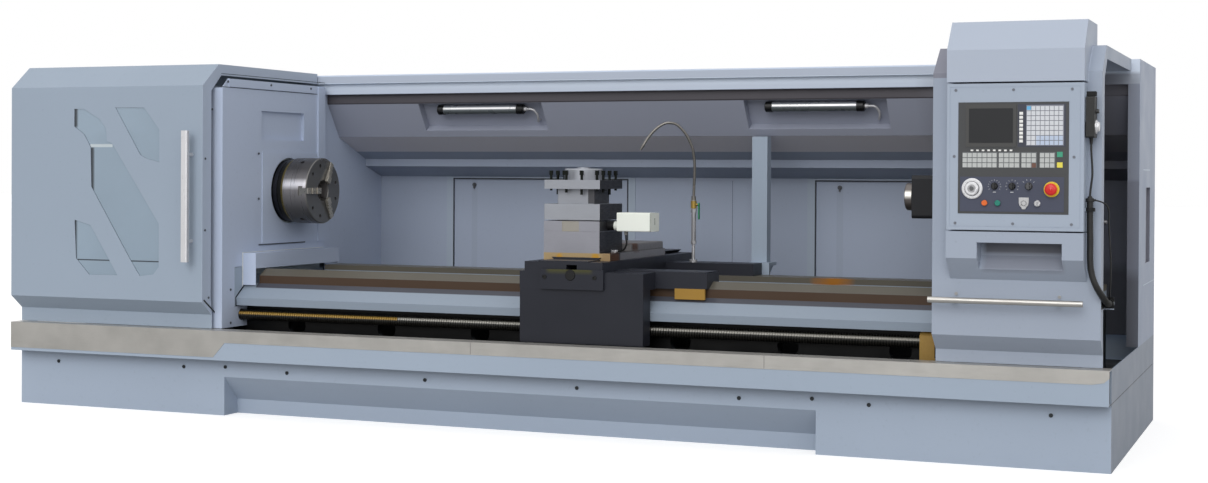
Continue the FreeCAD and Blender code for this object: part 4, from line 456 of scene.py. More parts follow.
def finish_guard():
    """The guard, the base and the covers in their paints, with painted shade on the right end faces, inside
    the tray and under its lip, and the cover's grey lightened as painted light.
    """
    dress(paint("guard_paint", GUARD_GREY, zones=guard_light_and_shade()), "rear_guard")
    # Painted shade on the right end faces of the base and the tray.
    shaded_right_end = slab_zone(SHADED_END_GREY, 0.0002, left=2.614)
    dress(paint("base_paint", BASE_GREY, zones=[shaded_right_end]), "base_frame")
    low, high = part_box("chip_tray")
    # Black painted shade inside the tray, under the bed and the carriage.
    tray_shade = box_zone((low.x + 0.02, low.y + 0.02, None), (high.x - 0.006, high.y - 0.02, high.z - 0.003),
                   SHADE_BLACK, 0.001)
    # A painted shadow line at the foot of the tray's right end, under its lip.
    edge = slab_zone((0.3, 0.31, 0.33), left=high.x - 0.002, top=low.z + 0.004)
    dress(paint("tray_paint", TRAY_GREY, zones=[shaded_right_end, tray_shade, edge]), "chip_tray")
    latches = [box_zone((start + 0.105, WALL - 0.02, None), (start + 0.139, WALL - 0.0005, None),
                        (0.34, 0.345, 0.36))
               for start in DOOR_STARTS]
    dress(paint("rear_door_paint", GUARD_GREY, zones=latches), "rear_door_left", "rear_door_right")
    dress(paint("case_paint", PAINT_GREY), "electrical_cabinet", "cabinet_door", "cable_post")
    # The partition cover, its grey lightened as painted light.
    dress(paint("lightened_cover_paint", LIGHTENED_COVER_GREY), "headstock_cover")
    dress(paint("headstock_paint", (0.7, 0.735, 0.745), 0.42), "headstock")


def finish_door():
    """The sliding door with its return lightened as painted light, and the clear sheet with painted shade
    along its panes' left edges, a painted shadow line and a painted highlight where bars behind it show
    through.
    """
    # The door's right return, lightened as painted light against its shade.
    lightened_return = slab_zone((0.69, 0.735, 0.805), 0.0004, left=DOOR_LEFT + 1.1125)
    dress(paint("door_paint", PAINT_GREY, zones=[lightened_return]), "sliding_door")
    # Painted shade along the panes' left edges, a painted shadow line across the lower panes under a bar
    # behind the sheet, and a painted highlight where the frame behind shows through.
    dark = (0.27, 0.3, 0.33)
    light = (0.83, 0.87, 0.89)
    zones = [slab_zone(colour, soft, DOOR_LEFT + left, DOOR_LEFT + right, bottom, top)
             for left, right, bottom, top, colour, soft in (
                 (0.47, 0.492, 1.05, 1.262, dark, 0.006), (0.374, 0.394, 1.358, 1.45, dark, 0.006),
                 (0.376, 0.392, 0.722, 0.915, dark, 0.006), (0.47, 0.6, 1.262, 1.276, light, 0.002))]
    zones.append(slab_zone(dark, 0.001, left=DOOR_LEFT + 0.384, bottom=0.7165, top=0.7225))
    dress(clear_sheet("window_sheet", (0.64, 0.712, 0.778), zones), "door_window")


def finish_station():
    """The control station with painted light on its top block, painted shade on its roof's left end and in
    its bin, and the panel box, its grey lightened a little as painted light, with the pendant's black hook.
    """
    # Painted light on the top block, and painted shade on the roof's left end and in the bin.
    lit_header = box_zone((2.0045, None, 1.51), (2.532, -0.6, None), (0.686, 0.722, 0.782))
    shaded_roof_end = slab_zone((0.535, 0.54, 0.585), right=2.0035, bottom=1.532)
    shaded_bin_top = box_zone((2.138, -1.0, 0.842), (2.448, -0.905, 0.894), (0.4, 0.408, 0.44), 0.012)
    shaded_bin_floor = box_zone((2.138, -1.0, 0.78), (2.448, -0.905, 0.842), (0.54, 0.56, 0.61), 0.012)
    gland = box_zone((2.572, -0.905, 0.636), (None, -0.8, 0.692), BLACK)
    zones = [lit_header, shaded_roof_end, shaded_bin_top, shaded_bin_floor, gland]
    dress(paint("station_paint", STATION_GREY, zones=zones), "control_station")
    hook = slab_zone(BLACK, 0.0002, left=2.5303)
    # The panel box's grey is the station's lightened a little, as painted light.
    dress(paint("box_paint", (0.641, 0.683, 0.743), zones=[hook]), "panel_box")


def finish_steelwork():
    dress(metal("sill_steel", STAINLESS, 0.4, (0.04, 1, 1), 260.0, wear=0.3, metallic=0.75), "stainless_sill")
    dress(metal("grip_steel", BRIGHT_STEEL, 0.34, (1, 1, 0.05), 300.0, wear=0.1, metallic=0.6), "door_handle")
    dress(metal("rail_steel", STAINLESS, 0.34, (0.05, 1, 1), 300.0, wear=0.15, metallic=0.8),
          "station_handle")
    dress(paint("motor_paint", BLACK, 0.45), "spindle_motor", "z_servo_motor", "x_servo_motor")
    dress(moulded("belt_rubber", BLACK, 0.7, 300.0), "drive_belt")
    dress(metal("pulley_iron", (0.36, 0.36, 0.37), 0.4), "motor_pulley")


def finish_bed():
    """Ground ways under an oil film, a painted rail, black painted shade on the castings under them, and
    painted highlights along the feed screw.
    """
    way = 0.65
    front = -0.615
    left = PARTITION + 0.07
    # Black painted shade on the castings under the rail, then the ways' oily top, their brown front and the
    # step below.
    zones = [box_zone((None, front + 0.004, None), (None, None, way - 0.058), SHADE_BLACK, 0.002),
             slab_zone(WAY_TOP, left=left, bottom=way - 0.0006),
             box_zone((left, front - 0.004, way - 0.039), (None, front + 0.0016, way - 0.0004), WAY_FACE),
             box_zone((left, front - 0.024, way - 0.058), (None, front - 0.0005, way - 0.0375), WAY_STEP,
                      0.0012),
             stain_zone((1.28, -0.05, 0.66), 0.1, (0.62, 0.4, 0.13), 9.0)]
    dress(paint("bed_finish", BED_GREY, 0.34, zones), "bed")
    dress(metal("bracket_grease", GREASE, 0.5, metallic=0.4), "z_bearing_bracket")
    # Painted highlights along the feed screw's upper side: silver, and golden where grease coats its left
    # end.
    screw_highlights = [box_zone((-0.6, None, 0.468), (None, -0.65, 0.478), (0.6, 0.59, 0.56), 0.002),
              box_zone((None, None, 0.466), (-0.6, -0.65, 0.478), (0.56, 0.44, 0.17), 0.002)]
    dress(threaded("feed_thread", SCREW_STEEL, 0.012, "X", screw_highlights), "z_screw")
    nose = box_zone(OPEN, (None, -0.78, None), (0.1, 0.1, 0.1))
    dress(threaded("cross_thread", (0.55, 0.55, 0.55), 0.006, "Y", [nose]), "x_screw")


CHUCK_FACE = -1.259
CHUCK_MIDDLE = (-0.24, 1.055)
JAWS = ("chuck_jaw_1", "chuck_jaw_2", "chuck_jaw_3")


def finish_chuck():
    """A bright turned body, with painted shade low and high and a painted highlight band, between a black
    flange with a brass-coloured ring and a dark face.
    """
    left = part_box("chuck_body")[0].x
    y, z = CHUCK_MIDDLE
    # Painted shade low and high on the turned body and a painted highlight band above its middle, for the
    # studio's reflection; then the black flange, the brass-coloured ring and the dark face.
    zones = [slab_zone((0.33, 0.32, 0.312), 0.05, top=z - 0.045),
             slab_zone((0.315, 0.308, 0.31), 0.03, bottom=z + 0.08),
             box_zone((None, None, z + 0.016), (None, y - 0.05, z + 0.05), (0.95, 0.935, 0.945), 0.012),
             slab_zone((0.09, 0.09, 0.085), left=left - 0.001, right=left + 0.026),
             slab_zone((0.42, 0.37, 0.19), 0.002, left=left + 0.025, right=left + 0.0375),
             slab_zone((0.44, 0.437, 0.43), 0.0004, left=CHUCK_FACE - 0.0035)]
    dress(metal("chuck_iron", (0.56, 0.545, 0.545), 0.3, (1, 0.06, 0.06), 60.0, zones=zones, wear=0.15,
                metallic=0.6), "chuck_body")
    dress(metal("spindle_steel", (0.22, 0.22, 0.24), 0.36), "spindle")
    dress(metal("jaw_steel", (0.5, 0.495, 0.48), 0.32, wear=0.4, metallic=0.6), *JAWS)


JAW_STEPS = ((0.046, 0.08, 0.0195), (0.08, 0.117, 0.0135), (0.117, 0.156, 0.0085))
JAW_SCREWS = ((0.097, 0.0135), (0.136, 0.0085))
JAW_HALF = 0.015


def add_jaw_tops():
    """The hard jaw on each slide: three steps down towards the rim, with a screw in each of the outer two."""
    steel = metal("jaw_top_steel", (0.69, 0.67, 0.63), 0.3, wear=0.5, metallic=0.6)
    y, z = CHUCK_MIDDLE
    for number, body in enumerate(JAWS, 1):
        low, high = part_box(body)
        out = Vector((0, (low.y + high.y) / 2 - y, (low.z + high.z) / 2 - z)).normalized()
        side = Vector((1, 0, 0)).cross(out)
        axes = Matrix((Vector((1, 0, 0)), out, side)).transposed().to_4x4()
        mesh = bmesh.new()
        for near, far, rise in JAW_STEPS:
            add_box(mesh, (0.004, near, -JAW_HALF), (rise, far, JAW_HALF), 0.0012)
        for at, rise in JAW_SCREWS:
            add_disc(mesh, (rise + 0.0005, at, 0), 0.008, 0.0012, "X", 12)
        bmesh.ops.transform(mesh, matrix=Matrix.Translation((CHUCK_FACE, y, z)) @ axes, verts=mesh.verts)
        piece("jaw_top_%d" % number, mesh, steel, body)


def finish_carriage():
    """Dark castings with a greasy wiper, and the cross slide's worn iron with its oil stains and its right
    side lightened as painted light.
    """
    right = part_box("saddle")[1].x
    wiper = box_zone((right - 0.15, -0.66, 0.6), (None, -0.628, 0.6505), (0.62, 0.48, 0.22))
    oil = box_zone((0.215, None, 0.716), (0.425, -0.8, 0.752), (0.3, 0.295, 0.15), 0.01)
    dress(paint("saddle_paint", CHARCOAL, 0.36, [oil, wiper]), "saddle")
    dress(paint("apron_paint", shade(CHARCOAL, 0.97), 0.38), "apron")
    low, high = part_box("cross_slide")
    front = low.y
    band = box_zone(OPEN, (None, front + 0.003, None), (0.66, 0.57, 0.42))
    gold = [stain_zone((x, front, 0.775), reach, (0.74, 0.56, 0.2), 22.0)
            for x, reach in ((0.2, 0.02), (0.375, 0.022))]
    brown = box_zone((0.405, front + 0.004, None), (None, front + 0.11, SLIDE_TOP + 0.001), OIL_BROWN, 0.01)
    streak = box_zone((0.3, front + 0.29, SLIDE_TOP), (None, front + 0.36, None), (0.42, 0.29, 0.2), 0.012)
    lid = box_zone((None, front + 0.26, SLIDE_TOP + 0.001), OPEN, (0.56, 0.55, 0.55), 0.004)
    # The slide's right side, lightened as painted light against its shade.
    lightened_flank = box_zone((high.x - 0.0009, front + 0.12, None), OPEN, (0.6, 0.59, 0.6), 0.0003)
    zones = [lightened_flank, band, *gold, brown, lid, streak]
    dress(metal("slide_iron", (0.27, 0.27, 0.28), 0.4, zones=zones, wear=0.3, metallic=0.5), "cross_slide")


def finish_tool_post():
    """The riser and the head with their shaded right sides, the screws, and the cream drive box."""
    low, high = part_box("tool_post_base")
    right = slab_zone(SHADED_STEEL, 0.0004, left=high.x - 0.0009)
    patch = box_zone((0.214, None, 0.889), (0.2955, low.y + 0.0015, 0.935), (0.6, 0.58, 0.53), 0.001)
    dress(metal("riser_iron", MACHINED, 0.42, (0.2, 0.2, 1), 150.0, zones=[patch, right], wear=0.18,
                metallic=0.55), "tool_post_base")
    middle = 0.26
    sides = [slab_zone(SHADED_STEEL, 0.0004, left=middle + 0.1345),
             slab_zone((0.3, 0.3, 0.315), 0.0008, middle + 0.06, middle + 0.13, 1.0135, 1.0775)]
    dress(metal("head_iron", (0.6, 0.612, 0.64), 0.4, (0.2, 0.2, 1), 150.0, zones=sides, wear=0.15,
                metallic=0.55), "tool_post_head")
    dress(metal("bolt_steel", (0.13, 0.14, 0.13), 0.38), "tool_post_bolts")
    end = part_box("tool_post_motor")[1].x
    zones = [slab_zone((0.1, 0.1, 0.105), 0.0005, right=end - 0.1905),
             slab_zone((0.28, 0.3, 0.29), 0.0003, left=end - 0.004, right=end - 0.0008),
             slab_zone((0.55, 0.55, 0.54), 0.0005, top=0.8925)]
    dress(paint("drive_box_paint", CREAM, 0.45, zones), "tool_post_motor")


def finish_coolant():
    """The chromed riser with its brass valve and duller hose, and the green lever."""
    brass = slab_zone(BRASS, 0.001, bottom=0.984, top=1.022)
    neck = slab_zone((0.46, 0.45, 0.435), 0.004, bottom=1.022)
    dress(metal("pipe_chrome", CHROME, 0.25, scale=12.0, wear=0.05, metallic=0.6, zones=[brass, neck],
                depth=0.0), "coolant_pipe")
    dress(moulded("lever_green", (0.1, 0.5, 0.32), 0.35), "valve_lever")


def finish_tailstock():
    dress(paint("tailstock_paint", (0.125, 0.128, 0.142), 0.4), "tailstock_body")
    # A painted highlight band along the quill, just above its axis.
    quill_highlight = slab_zone((0.9, 0.89, 0.86), 0.008, bottom=1.05, top=1.076)
    dress(metal("quill_steel", (0.42, 0.4, 0.39), 0.32, (1, 0.1, 0.1), 200.0, zones=[quill_highlight], metallic=0.6),
          "quill")
    dress(metal("wheel_steel", (0.45, 0.45, 0.46), 0.28), "tail_handwheel")
    dress(metal("lever_steel", (0.3, 0.3, 0.3), 0.3), "quill_lock_lever")


LAMP_CAP = 0.036
LAMP_TUBES = ((-0.845, -0.365), (0.897, 1.377))


def finish_lamps():
    """Black end caps, a dull tube with painted shade on its lower half and a painted highlight strip above
    its middle, and a chromed conduit.
    """
    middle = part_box("work_lamps")[1].z - 0.026
    zones = []
    for start, end in LAMP_TUBES:
        left, right = start + LAMP_CAP, end - LAMP_CAP
        # Painted shade below the tube's middle and a painted highlight strip just above it, between black
        # caps.
        zones += [slab_zone((0.56, 0.575, 0.61), 0.0006, left, right),
                  slab_zone((0.37, 0.395, 0.405), 0.003, left, right, None, middle - 0.002),
                  slab_zone((0.98, 0.98, 0.98), 0.002, left, right, middle + 0.001, middle + 0.01),
                  slab_zone(BLACK, 0.0006, start - 0.002, left),
                  slab_zone(BLACK, 0.0006, right, end + 0.002)]
    dress(metal("lamp_finish", CHROME, 0.28, scale=12.0, zones=zones, metallic=0.3, wear=0.05, depth=0.0),
          "work_lamps")


def finish_controls():
    dress(moulded("knob_black", BLACK, 0.38), "feed_knob", "speed_knob", "pendant_knob")
    dress(metal("mode_steel", (0.34, 0.34, 0.35), 0.3, metallic=0.7), "mode_knob")
    dress(moulded("pendant_case", (0.045, 0.048, 0.047), 0.55), "pendant")
    middle = middle_of("mpg_dial")
    rings = [ring_zone(middle, inner, outer, (grey, grey, grey + 0.01))
             for inner, outer, grey in ((0.0, 0.0085, 0.36), (0.0085, 0.016, 0.62), (0.026, 0.029, 0.5))]
    dress(metal("dial_steel", BRIGHT_STEEL, 0.3, wear=0.1, metallic=0.45, zones=rings), "mpg_dial")
    dress(metal("pendant_steel", BRIGHT_STEEL, 0.28, wear=0.1, metallic=0.4), "pendant_dial")
    dress(metal("key_steel", (0.8, 0.8, 0.81), 0.25, metallic=0.7), "key_switch")
    dress(moulded("stop_red", (0.83, 0.13, 0.12), 0.3), "stop_button")
    dress(moulded("cap_green", (0.06, 0.5, 0.43), 0.3), "green_button")
    dress(moulded("cap_orange", (0.9, 0.42, 0.14), 0.3), "orange_button")


# ---- the operator's panel ----
def panel_zone(left, right, bottom, top, colour, front=None):
    """A region of the panel, in millimetres from its lower left corner; front keeps it to raised keys."""
    return box_zone((PANEL_LEFT + left / 1000, None, PANEL_BOTTOM + bottom / 1000),
                    (PANEL_LEFT + right / 1000, front, PANEL_BOTTOM + top / 1000), colour, 0.0003)


def finish_panel():
    """The panel's regions: dark face, screen, and the keys by where they stand."""
    regions = [(9, 403, 9, 143, (0.295, 0.31, 0.372)),
               (228, 408, 258, 422, (0.262, 0.272, 0.315)),
               (30, 222, 258, 422, (0.3, 0.3, 0.298)),
               (42, 210, 274, 406, (0.165, 0.168, 0.176)),
               (233, 254, 272, 398, (0.92, 0.92, 0.91), KEY_FACE),
               (260, 401, 263, 418, (0.52, 0.53, 0.57)),
               (260, 401, 263, 418, (0.83, 0.84, 0.86), KEY_FACE),
               (298, 401, 263, 302, (0.74, 0.79, 0.87), KEY_FACE),
               (260, 279, 399, 418, (0.42, 0.7, 0.87), KEY_FACE)]
    for left, right in ((17, 152), (156, 238), (242, 301), (311, 370)):
        regions.append((left, right, 178, 238, (0.42, 0.43, 0.44)))
        regions.append((left, right, 178, 238, (0.74, 0.75, 0.745), KEY_FACE))
    regions += [(281.5, 301, 178, 198, (0.45, 0.33, 0.29), KEY_FACE),
                (375, 399, 218, 240, (0.28, 0.62, 0.5), KEY_FACE),
                (375, 399, 178, 200, (0.9, 0.85, 0.36), KEY_FACE)]
    zones = [panel_zone(*region) for region in regions]
    dress(paint("panel_face", (0.288, 0.292, 0.298), 0.42, zones), "control_panel")


def add_ticks(mesh, node, radius, start, end, count, length=0.0045):
    """Printed marks round a knob, as thin as paint."""
    x, _, z = middle_of(node)
    for k in range(count):
        angle = radians(start + (end - start) * k / (count - 1))
        turn = Matrix.Translation((x, PLATE_FACE, z)) @ Matrix.Rotation(angle, 4, "Y")
        turn = turn @ Matrix.Translation((0, -0.0003, radius))
        bmesh.ops.create_cube(mesh, size=1.0, matrix=turn @ Matrix.Diagonal((0.0013, 0.0005, length, 1.0)))


def add_panel_marks():
    """Dial marks, small lamps, the shield round the spare socket and the yellow ring of the stop."""
    white = moulded("mark_white", (0.8, 0.81, 0.83), 0.5)
    mesh = bmesh.new()
    add_ticks(mesh, "feed_knob", 0.0235, -120, 120, 11)
    add_ticks(mesh, "speed_knob", 0.0235, -120, 120, 9)
    add_ticks(mesh, "mode_knob", 0.0255, -50, 50, 4, 0.006)
    for node in ("feed_knob", "speed_knob"):
        x = middle_of(node)[0]
        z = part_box(node)[0].z
        add_box(mesh, (x - 0.006, PLATE_FACE - 0.0006, z - 0.0105), (x + 0.006, PLATE_FACE, z - 0.0075))
    piece("dial_marks", mesh, white, "station")
    z = PANEL_BOTTOM + 0.2445
    places = [PANEL_LEFT + 0.054 + 0.0213 * k for k in range(8)]
    lamps = [((x - 0.0052, PANEL_FACE - 0.0022, z - 0.0032), (x + 0.0052, PANEL_FACE, z + 0.0032))
             for x in places]
    lamp_white = moulded("lamp_white", (0.93, 0.93, 0.92), 0.3)
    box_piece("small_lamps", lamps, lamp_white, "station", 0.001)
    mesh = bmesh.new()
    x, z = PANEL_LEFT + 0.253, PANEL_BOTTOM + 0.042
    shield = [(-0.019, 0.022), (-0.019, 0.002), (-0.0165, -0.008), (-0.009, -0.0165), (-0.0065, -0.023),
              (0.0065, -0.023), (0.009, -0.0165), (0.0165, -0.008), (0.019, 0.002), (0.019, 0.022)]
    add_plate(mesh, [(x + a, PANEL_FACE - 0.0052, z + b) for a, b in shield], (0, 0.0042, 0), 0.0012)
    add_disc(mesh, (x, PANEL_FACE - 0.0058, z), 0.0115, 0.0016, sides=32, bevel=0.0004)
    dark = ring_zone((x, 0.0, z), 0.0085, 0.0102, (0.25, 0.25, 0.26))
    zinc = metal("shield_zinc", (0.74, 0.74, 0.745), 0.32, metallic=0.45, zones=[dark])
    piece("socket_shield", mesh, zinc, "station")
    mesh = bmesh.new()
    x, _, z = middle_of("stop_button")
    add_disc(mesh, (x, PANEL_FACE - 0.0023, z), 0.0295, 0.0044, sides=40, bevel=0.0012)
    piece("stop_ring", mesh, moulded("ring_yellow", (0.92, 0.78, 0.18), 0.35), "station")


# ---- the door's gaskets, and small pieces on the sheets ----
# The panes' outlines, in millimetres from the door's left edge and the floor.
WINDOW_PANES = (
    ((378, 1447), (435, 1446), (526, 1397), (563, 1353), (570, 1291), (600, 1280), (869, 900), (870, 695),
     (838, 658), (762, 649), (706, 727), (479, 1072), (474, 1262), (436, 1323), (378, 1361)),
    ((618, 1451), (784, 1449), (871, 1346), (872, 1190), (800, 1207), (763, 1225)),
    ((381, 911), (475, 887), (633, 650), (469, 648), (390, 726)))
# The seals on the panes' left edges are wider and black as painted shade; the others keep the rubber's grey.
WINDOW_RUBBER = (("window_seals_painted_shade", True, 0.011, (0.085, 0.092, 0.1)),
                 ("window_gaskets", False, 0.005, (0.42, 0.46, 0.5)))


def add_gaskets():
    """Rubber round each pane: wider and black along its left edges as painted shade, grey on the others."""
    for name, shaded, width, colour in WINDOW_RUBBER:
        mesh = bmesh.new()
        for pane in WINDOW_PANES:
            corners = [(DOOR_LEFT + x / 1000, DOOR_FRONT - 0.0008, z / 1000) for x, z in pane]
            face = mesh.faces.new([mesh.verts.new(corner) for corner in corners])
            rim = set(face.edges)
            ring = bmesh.ops.inset_region(mesh, faces=[face], thickness=width, use_boundary=True,
                                          use_even_offset=True)["faces"]
            kept = []
            for part in ring:
                outer = next(e for e in part.edges if e in rim)
                inward = part.calc_center_median() - (outer.verts[0].co + outer.verts[1].co) / 2
                on_left = inward.normalized().x > 0.35
                if on_left == shaded:
                    kept.append(part)
            bmesh.ops.delete(mesh, geom=[face, *(f for f in ring if f not in kept)], context="FACES_ONLY")
            draw_out(mesh, kept, (0, 0.003, 0))
        bmesh.ops.delete(mesh, geom=[v for v in mesh.verts if not v.link_faces], context="VERTS")
        piece(name, mesh, moulded(name + "_rubber", colour, 0.6), "door")


def add_station_marks():
    """A dark slot down the station's front, the rail's bright bolts, and the box's screws."""
    dark = paint("slot_black", (0.12, 0.125, 0.13), 0.6)
    slot = (2.508, -0.9186, 1.128), (2.513, -0.9176, 1.237)
    box_piece("station_slot", [slot], dark, "station")
    zinc = metal("screw_zinc", (0.66, 0.66, 0.66), 0.34, metallic=0.7, wear=0.2)
    places = [(2.029, -0.918, 0.684), (2.427, -0.918, 0.682)]
    socket_screws("rail_bolts", places, 0.0065, zinc, "station", proud=0.007)
    places = [(x / 1000, -1.015, z / 1000)
              for x, z in ((2041, 1478), (2262, 1478), (2482, 1478), (2036, 1222), (2490, 1220), (2041, 964),
                           (2262, 964), (2482, 964))]
    grey = paint("screw_grey", (0.47, 0.485, 0.52), 0.5)
    socket_screws("box_screws", places, 0.0058, grey, "station", proud=0.0016)


def add_cap_screws():
    """Black cap screws on the partition and down the door's right return."""
    black = metal("screw_black", (0.34, 0.355, 0.385), 0.45, metallic=0.3)
    face = PARTITION + 0.0036
    places = [(face, -0.514, 1.236), (face, -0.513, 1.016), (PARTITION, -0.745, 0.586),
              (PARTITION, -0.744, 0.428)]
    places += [(PARTITION + 0.006, y, 1.574) for y in (-0.78, -0.41, -0.04)]
    socket_screws("partition_screws", places, 0.006, black, "machine", "X", 0.0025)
    face = DOOR_LEFT + 1.114
    places = [(face, y / 1000, z / 1000) for y, z in ((-842, 1441), (-896, 1208), (-897, 872), (-866, 554))]
    socket_screws("return_screws", places, 0.0055, black, "door", "X", 0.0025)


def add_door_wiper():
    """The rubber wiper at the foot of the door's right return."""
    mesh = bmesh.new()
    side = -1.501
    outline = ((-0.902, 0.548), (-0.837, 0.502), (-0.771, 0.453), (-0.776, 0.447), (-0.842, 0.496),
               (-0.907, 0.542))
    add_plate(mesh, [(side + 0.0012, y, z) for y, z in outline], (-0.0012, 0, 0))
    piece("door_wiper", mesh, moulded("wiper_rubber", (0.1, 0.105, 0.11), 0.6), "door")


def add_partition_trim():
    """The partition's seams, the plate round the bed's rail, and the pale seal of the front box."""
    back, front = PARTITION - 0.0002, PARTITION + 0.0006
    seams = [((back, -0.828, 1.6085), (front, 0.104, 1.6115)),
             ((back, -0.827, 1.5465), (front, 0.082, 1.5495)),
             ((PARTITION + 0.0036, -0.511, 0.7885), (PARTITION + 0.0046, -0.086, 0.7945))]
    dark = paint("seam_shadow", (0.3, 0.32, 0.35), 0.6)
    box_piece("partition_seams", seams, dark, "machine")
    mesh = bmesh.new()
    outline = ((-0.712, 0.5), (-0.712, 0.69), (-0.612, 0.69), (-0.612, 0.622), (-0.64, 0.599),
               (-0.7035, 0.549), (-0.7035, 0.5))
    add_plate(mesh, [(PARTITION + 0.0005, y, z) for y, z in outline], (-0.0018, 0, 0))
    piece("rail_surround", mesh, paint("surround_paint", PAINT_GREY), "machine")
    back, front = PARTITION + 0.001, PARTITION + 0.005
    seal = [((back, -0.6485, 0.597), (front, -0.6452, 0.7595)),
            ((back, -0.6485, 0.7572), (front, 0.09, 0.76))]
    white = moulded("seal_white", (0.86, 0.87, 0.87), 0.5)
    box_piece("cover_seal", seal, white, "machine", 0.001)


def add_base_marks():
    """Levelling bolts on the base's front, the joints of its sheets and of the wall's, and painted highlights
    along the end column's joints.
    """
    dark = metal("bolt_dark", (0.24, 0.25, 0.26), 0.4)
    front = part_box("base_frame")[0].y
    row = ((-2388, 214), (-1655, 220), (-1422, 229), (-1085, 216), (-365, 219), (375, 220), (1110, 215),
           (1424, 229), (1662, 216), (2386, 214))
    places = [(x / 1000, front, z / 1000) for x, z in row]
    socket_screws("base_bolts", places, 0.0085, dark, "machine", proud=0.0035)
    joint = (0.5592, WALL - 0.0008, 0.41), (0.5608, WALL + 0.0002, 1.115)
    dark = paint("joint_shadow", (0.26, 0.28, 0.31), 0.6)
    box_piece("wall_joint", [joint], dark, "machine")
    # Painted highlights along two joints of the end column.
    joints = [((2.6148, 0.3, 1.1755), (2.6155, 0.6, 1.1795)),
              ((2.6148, 0.33, 0.6615), (2.6155, 0.82, 0.6645))]
    light = paint("joint_highlight", (0.8, 0.84, 0.88), 0.5)
    box_piece("end_joints", joints, light, "machine")
    joints = [((x - 0.0012, -0.92, 0.352), (x + 0.0012, -0.919, 0.4045)) for x in (-0.1, 1.242)]
    box_piece("sill_joints", joints, paint("sill_shadow", (0.5, 0.49, 0.48), 0.6), "machine")


def add_saddle_marks():
    """Black cap screws on the saddle's front plate, and the dark cap over the cross screw's end."""
    black = metal("plate_black", (0.06, 0.06, 0.062), 0.45, metallic=0.4)
    socket_screws("plate_screws", [(0.203, -0.805, 0.695), (0.44, -0.805, 0.696)], 0.0095, black, "carriage",
                  proud=0.003)
    mesh = bmesh.new()
    add_disc(mesh, (0.325, -0.8055, 0.705), 0.0225, 0.004, sides=32, bevel=0.001)
    piece("screw_cap", mesh, black, "carriage")


def add_riser_sleeve():
    """The chromed sleeve round the coolant riser, with a nut at each end."""
    low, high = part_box("valve_lever")
    x, y = low.x - 0.022, (low.y + high.y) / 2
    mesh = bmesh.new()
    add_disc(mesh, (x, y, 0.9), 0.0118, 0.14, "Z", 24, 0.001)
    add_disc(mesh, (x, y, 0.974), 0.0135, 0.018, "Z", 6, 0.001)
    add_disc(mesh, (x, y, 0.824), 0.0135, 0.016, "Z", 6, 0.001)
    finish = metal("sleeve_chrome", (0.66, 0.66, 0.67), 0.25, (1, 1, 0.1), 30.0, metallic=0.6, wear=0.2)
    piece("riser_sleeve", mesh, finish, "carriage")


def add_lead_socket():
    """The chromed socket on the cross slide that the drive's lead runs into."""
    x, y, z = MOTOR_ROUTE[-1]
    mesh = bmesh.new()
    add_box(mesh, (x - 0.026, y - 0.013, SLIDE_TOP), (x - 0.002, y + 0.013, SLIDE_TOP + 0.013), 0.002)
    add_disc(mesh, (x - 0.001, y, z), 0.0065, 0.008, "X", 16, 0.0008)
    finish = metal("socket_chrome", CHROME, 0.22, metallic=0.8)
    piece("lead_socket", mesh, finish, "cross_slide")


# ---- hoses ----
def route_curve(name, points, radius):
    """A smooth tube on a route's points."""
    curve = bpy.data.curves.new(name, "CURVE")
    curve.dimensions = "3D"
    spline = curve.splines.new("NURBS")
    spline.points.add(len(points) - 1)
    for point, place in zip(spline.points, points):
        point.co = (*place, 1.0)
    spline.order_u = 3
    spline.use_endpoint_u = True
    curve.resolution_u = 10
    curve.bevel_depth = radius
    curve.bevel_resolution = 4
    curve.use_fill_caps = True
    return new_object(name, curve)


def even_points(line, step):
    """Points at an even step along a line of points."""
    total = sum((b - a).length for a, b in zip(line, line[1:]))
    count = max(2, ceil(total / step))
    wanted = [total * k / count for k in range(count + 1)]
    found, run, index = [], 0.0, 0
    for goal in wanted:
        while index < len(line) - 2 and run + (line[index + 1] - line[index]).length < goal:
            run += (line[index + 1] - line[index]).length
            index += 1
        part = (line[index + 1] - line[index]).length
        found.append(line[index].lerp(line[index + 1], min(1.0, (goal - run) / part)))
    return found


def ribbed_mesh(line, radius, pitch, sides=16):
    """A tube of rings along a line, every other ring drawn in, joined ring to ring."""
    mesh = bmesh.new()
    places = even_points(line, pitch / 2)
    across = None
    last = None
    for k, place in enumerate(places):
        ahead = (places[min(k + 1, len(places) - 1)] - places[max(k - 1, 0)]).normalized()
        across = ahead.orthogonal() if across is None else across - ahead * across.dot(ahead)
        across.normalize()
        turn = Matrix((across, ahead.cross(across), ahead)).transposed().to_4x4()
        size = radius if k % 2 == 0 else radius * 0.84
        made = bmesh.ops.create_circle(mesh, cap_ends=k in (0, len(places) - 1), segments=sides, radius=size,
                                       matrix=Matrix.Translation(place) @ turn)
        edges = edges_of(made["verts"])
        if last:
            bmesh.ops.bridge_loops(mesh, edges=last + edges)
        last = edges
    return mesh


def spline_line(curve_object):
    """The points of a route's own smooth line."""
    data = bpy.data.meshes.new_from_object(curve_object)
    line = [vertex.co.copy() for vertex in data.vertices]
    bpy.data.meshes.remove(data)
    return line


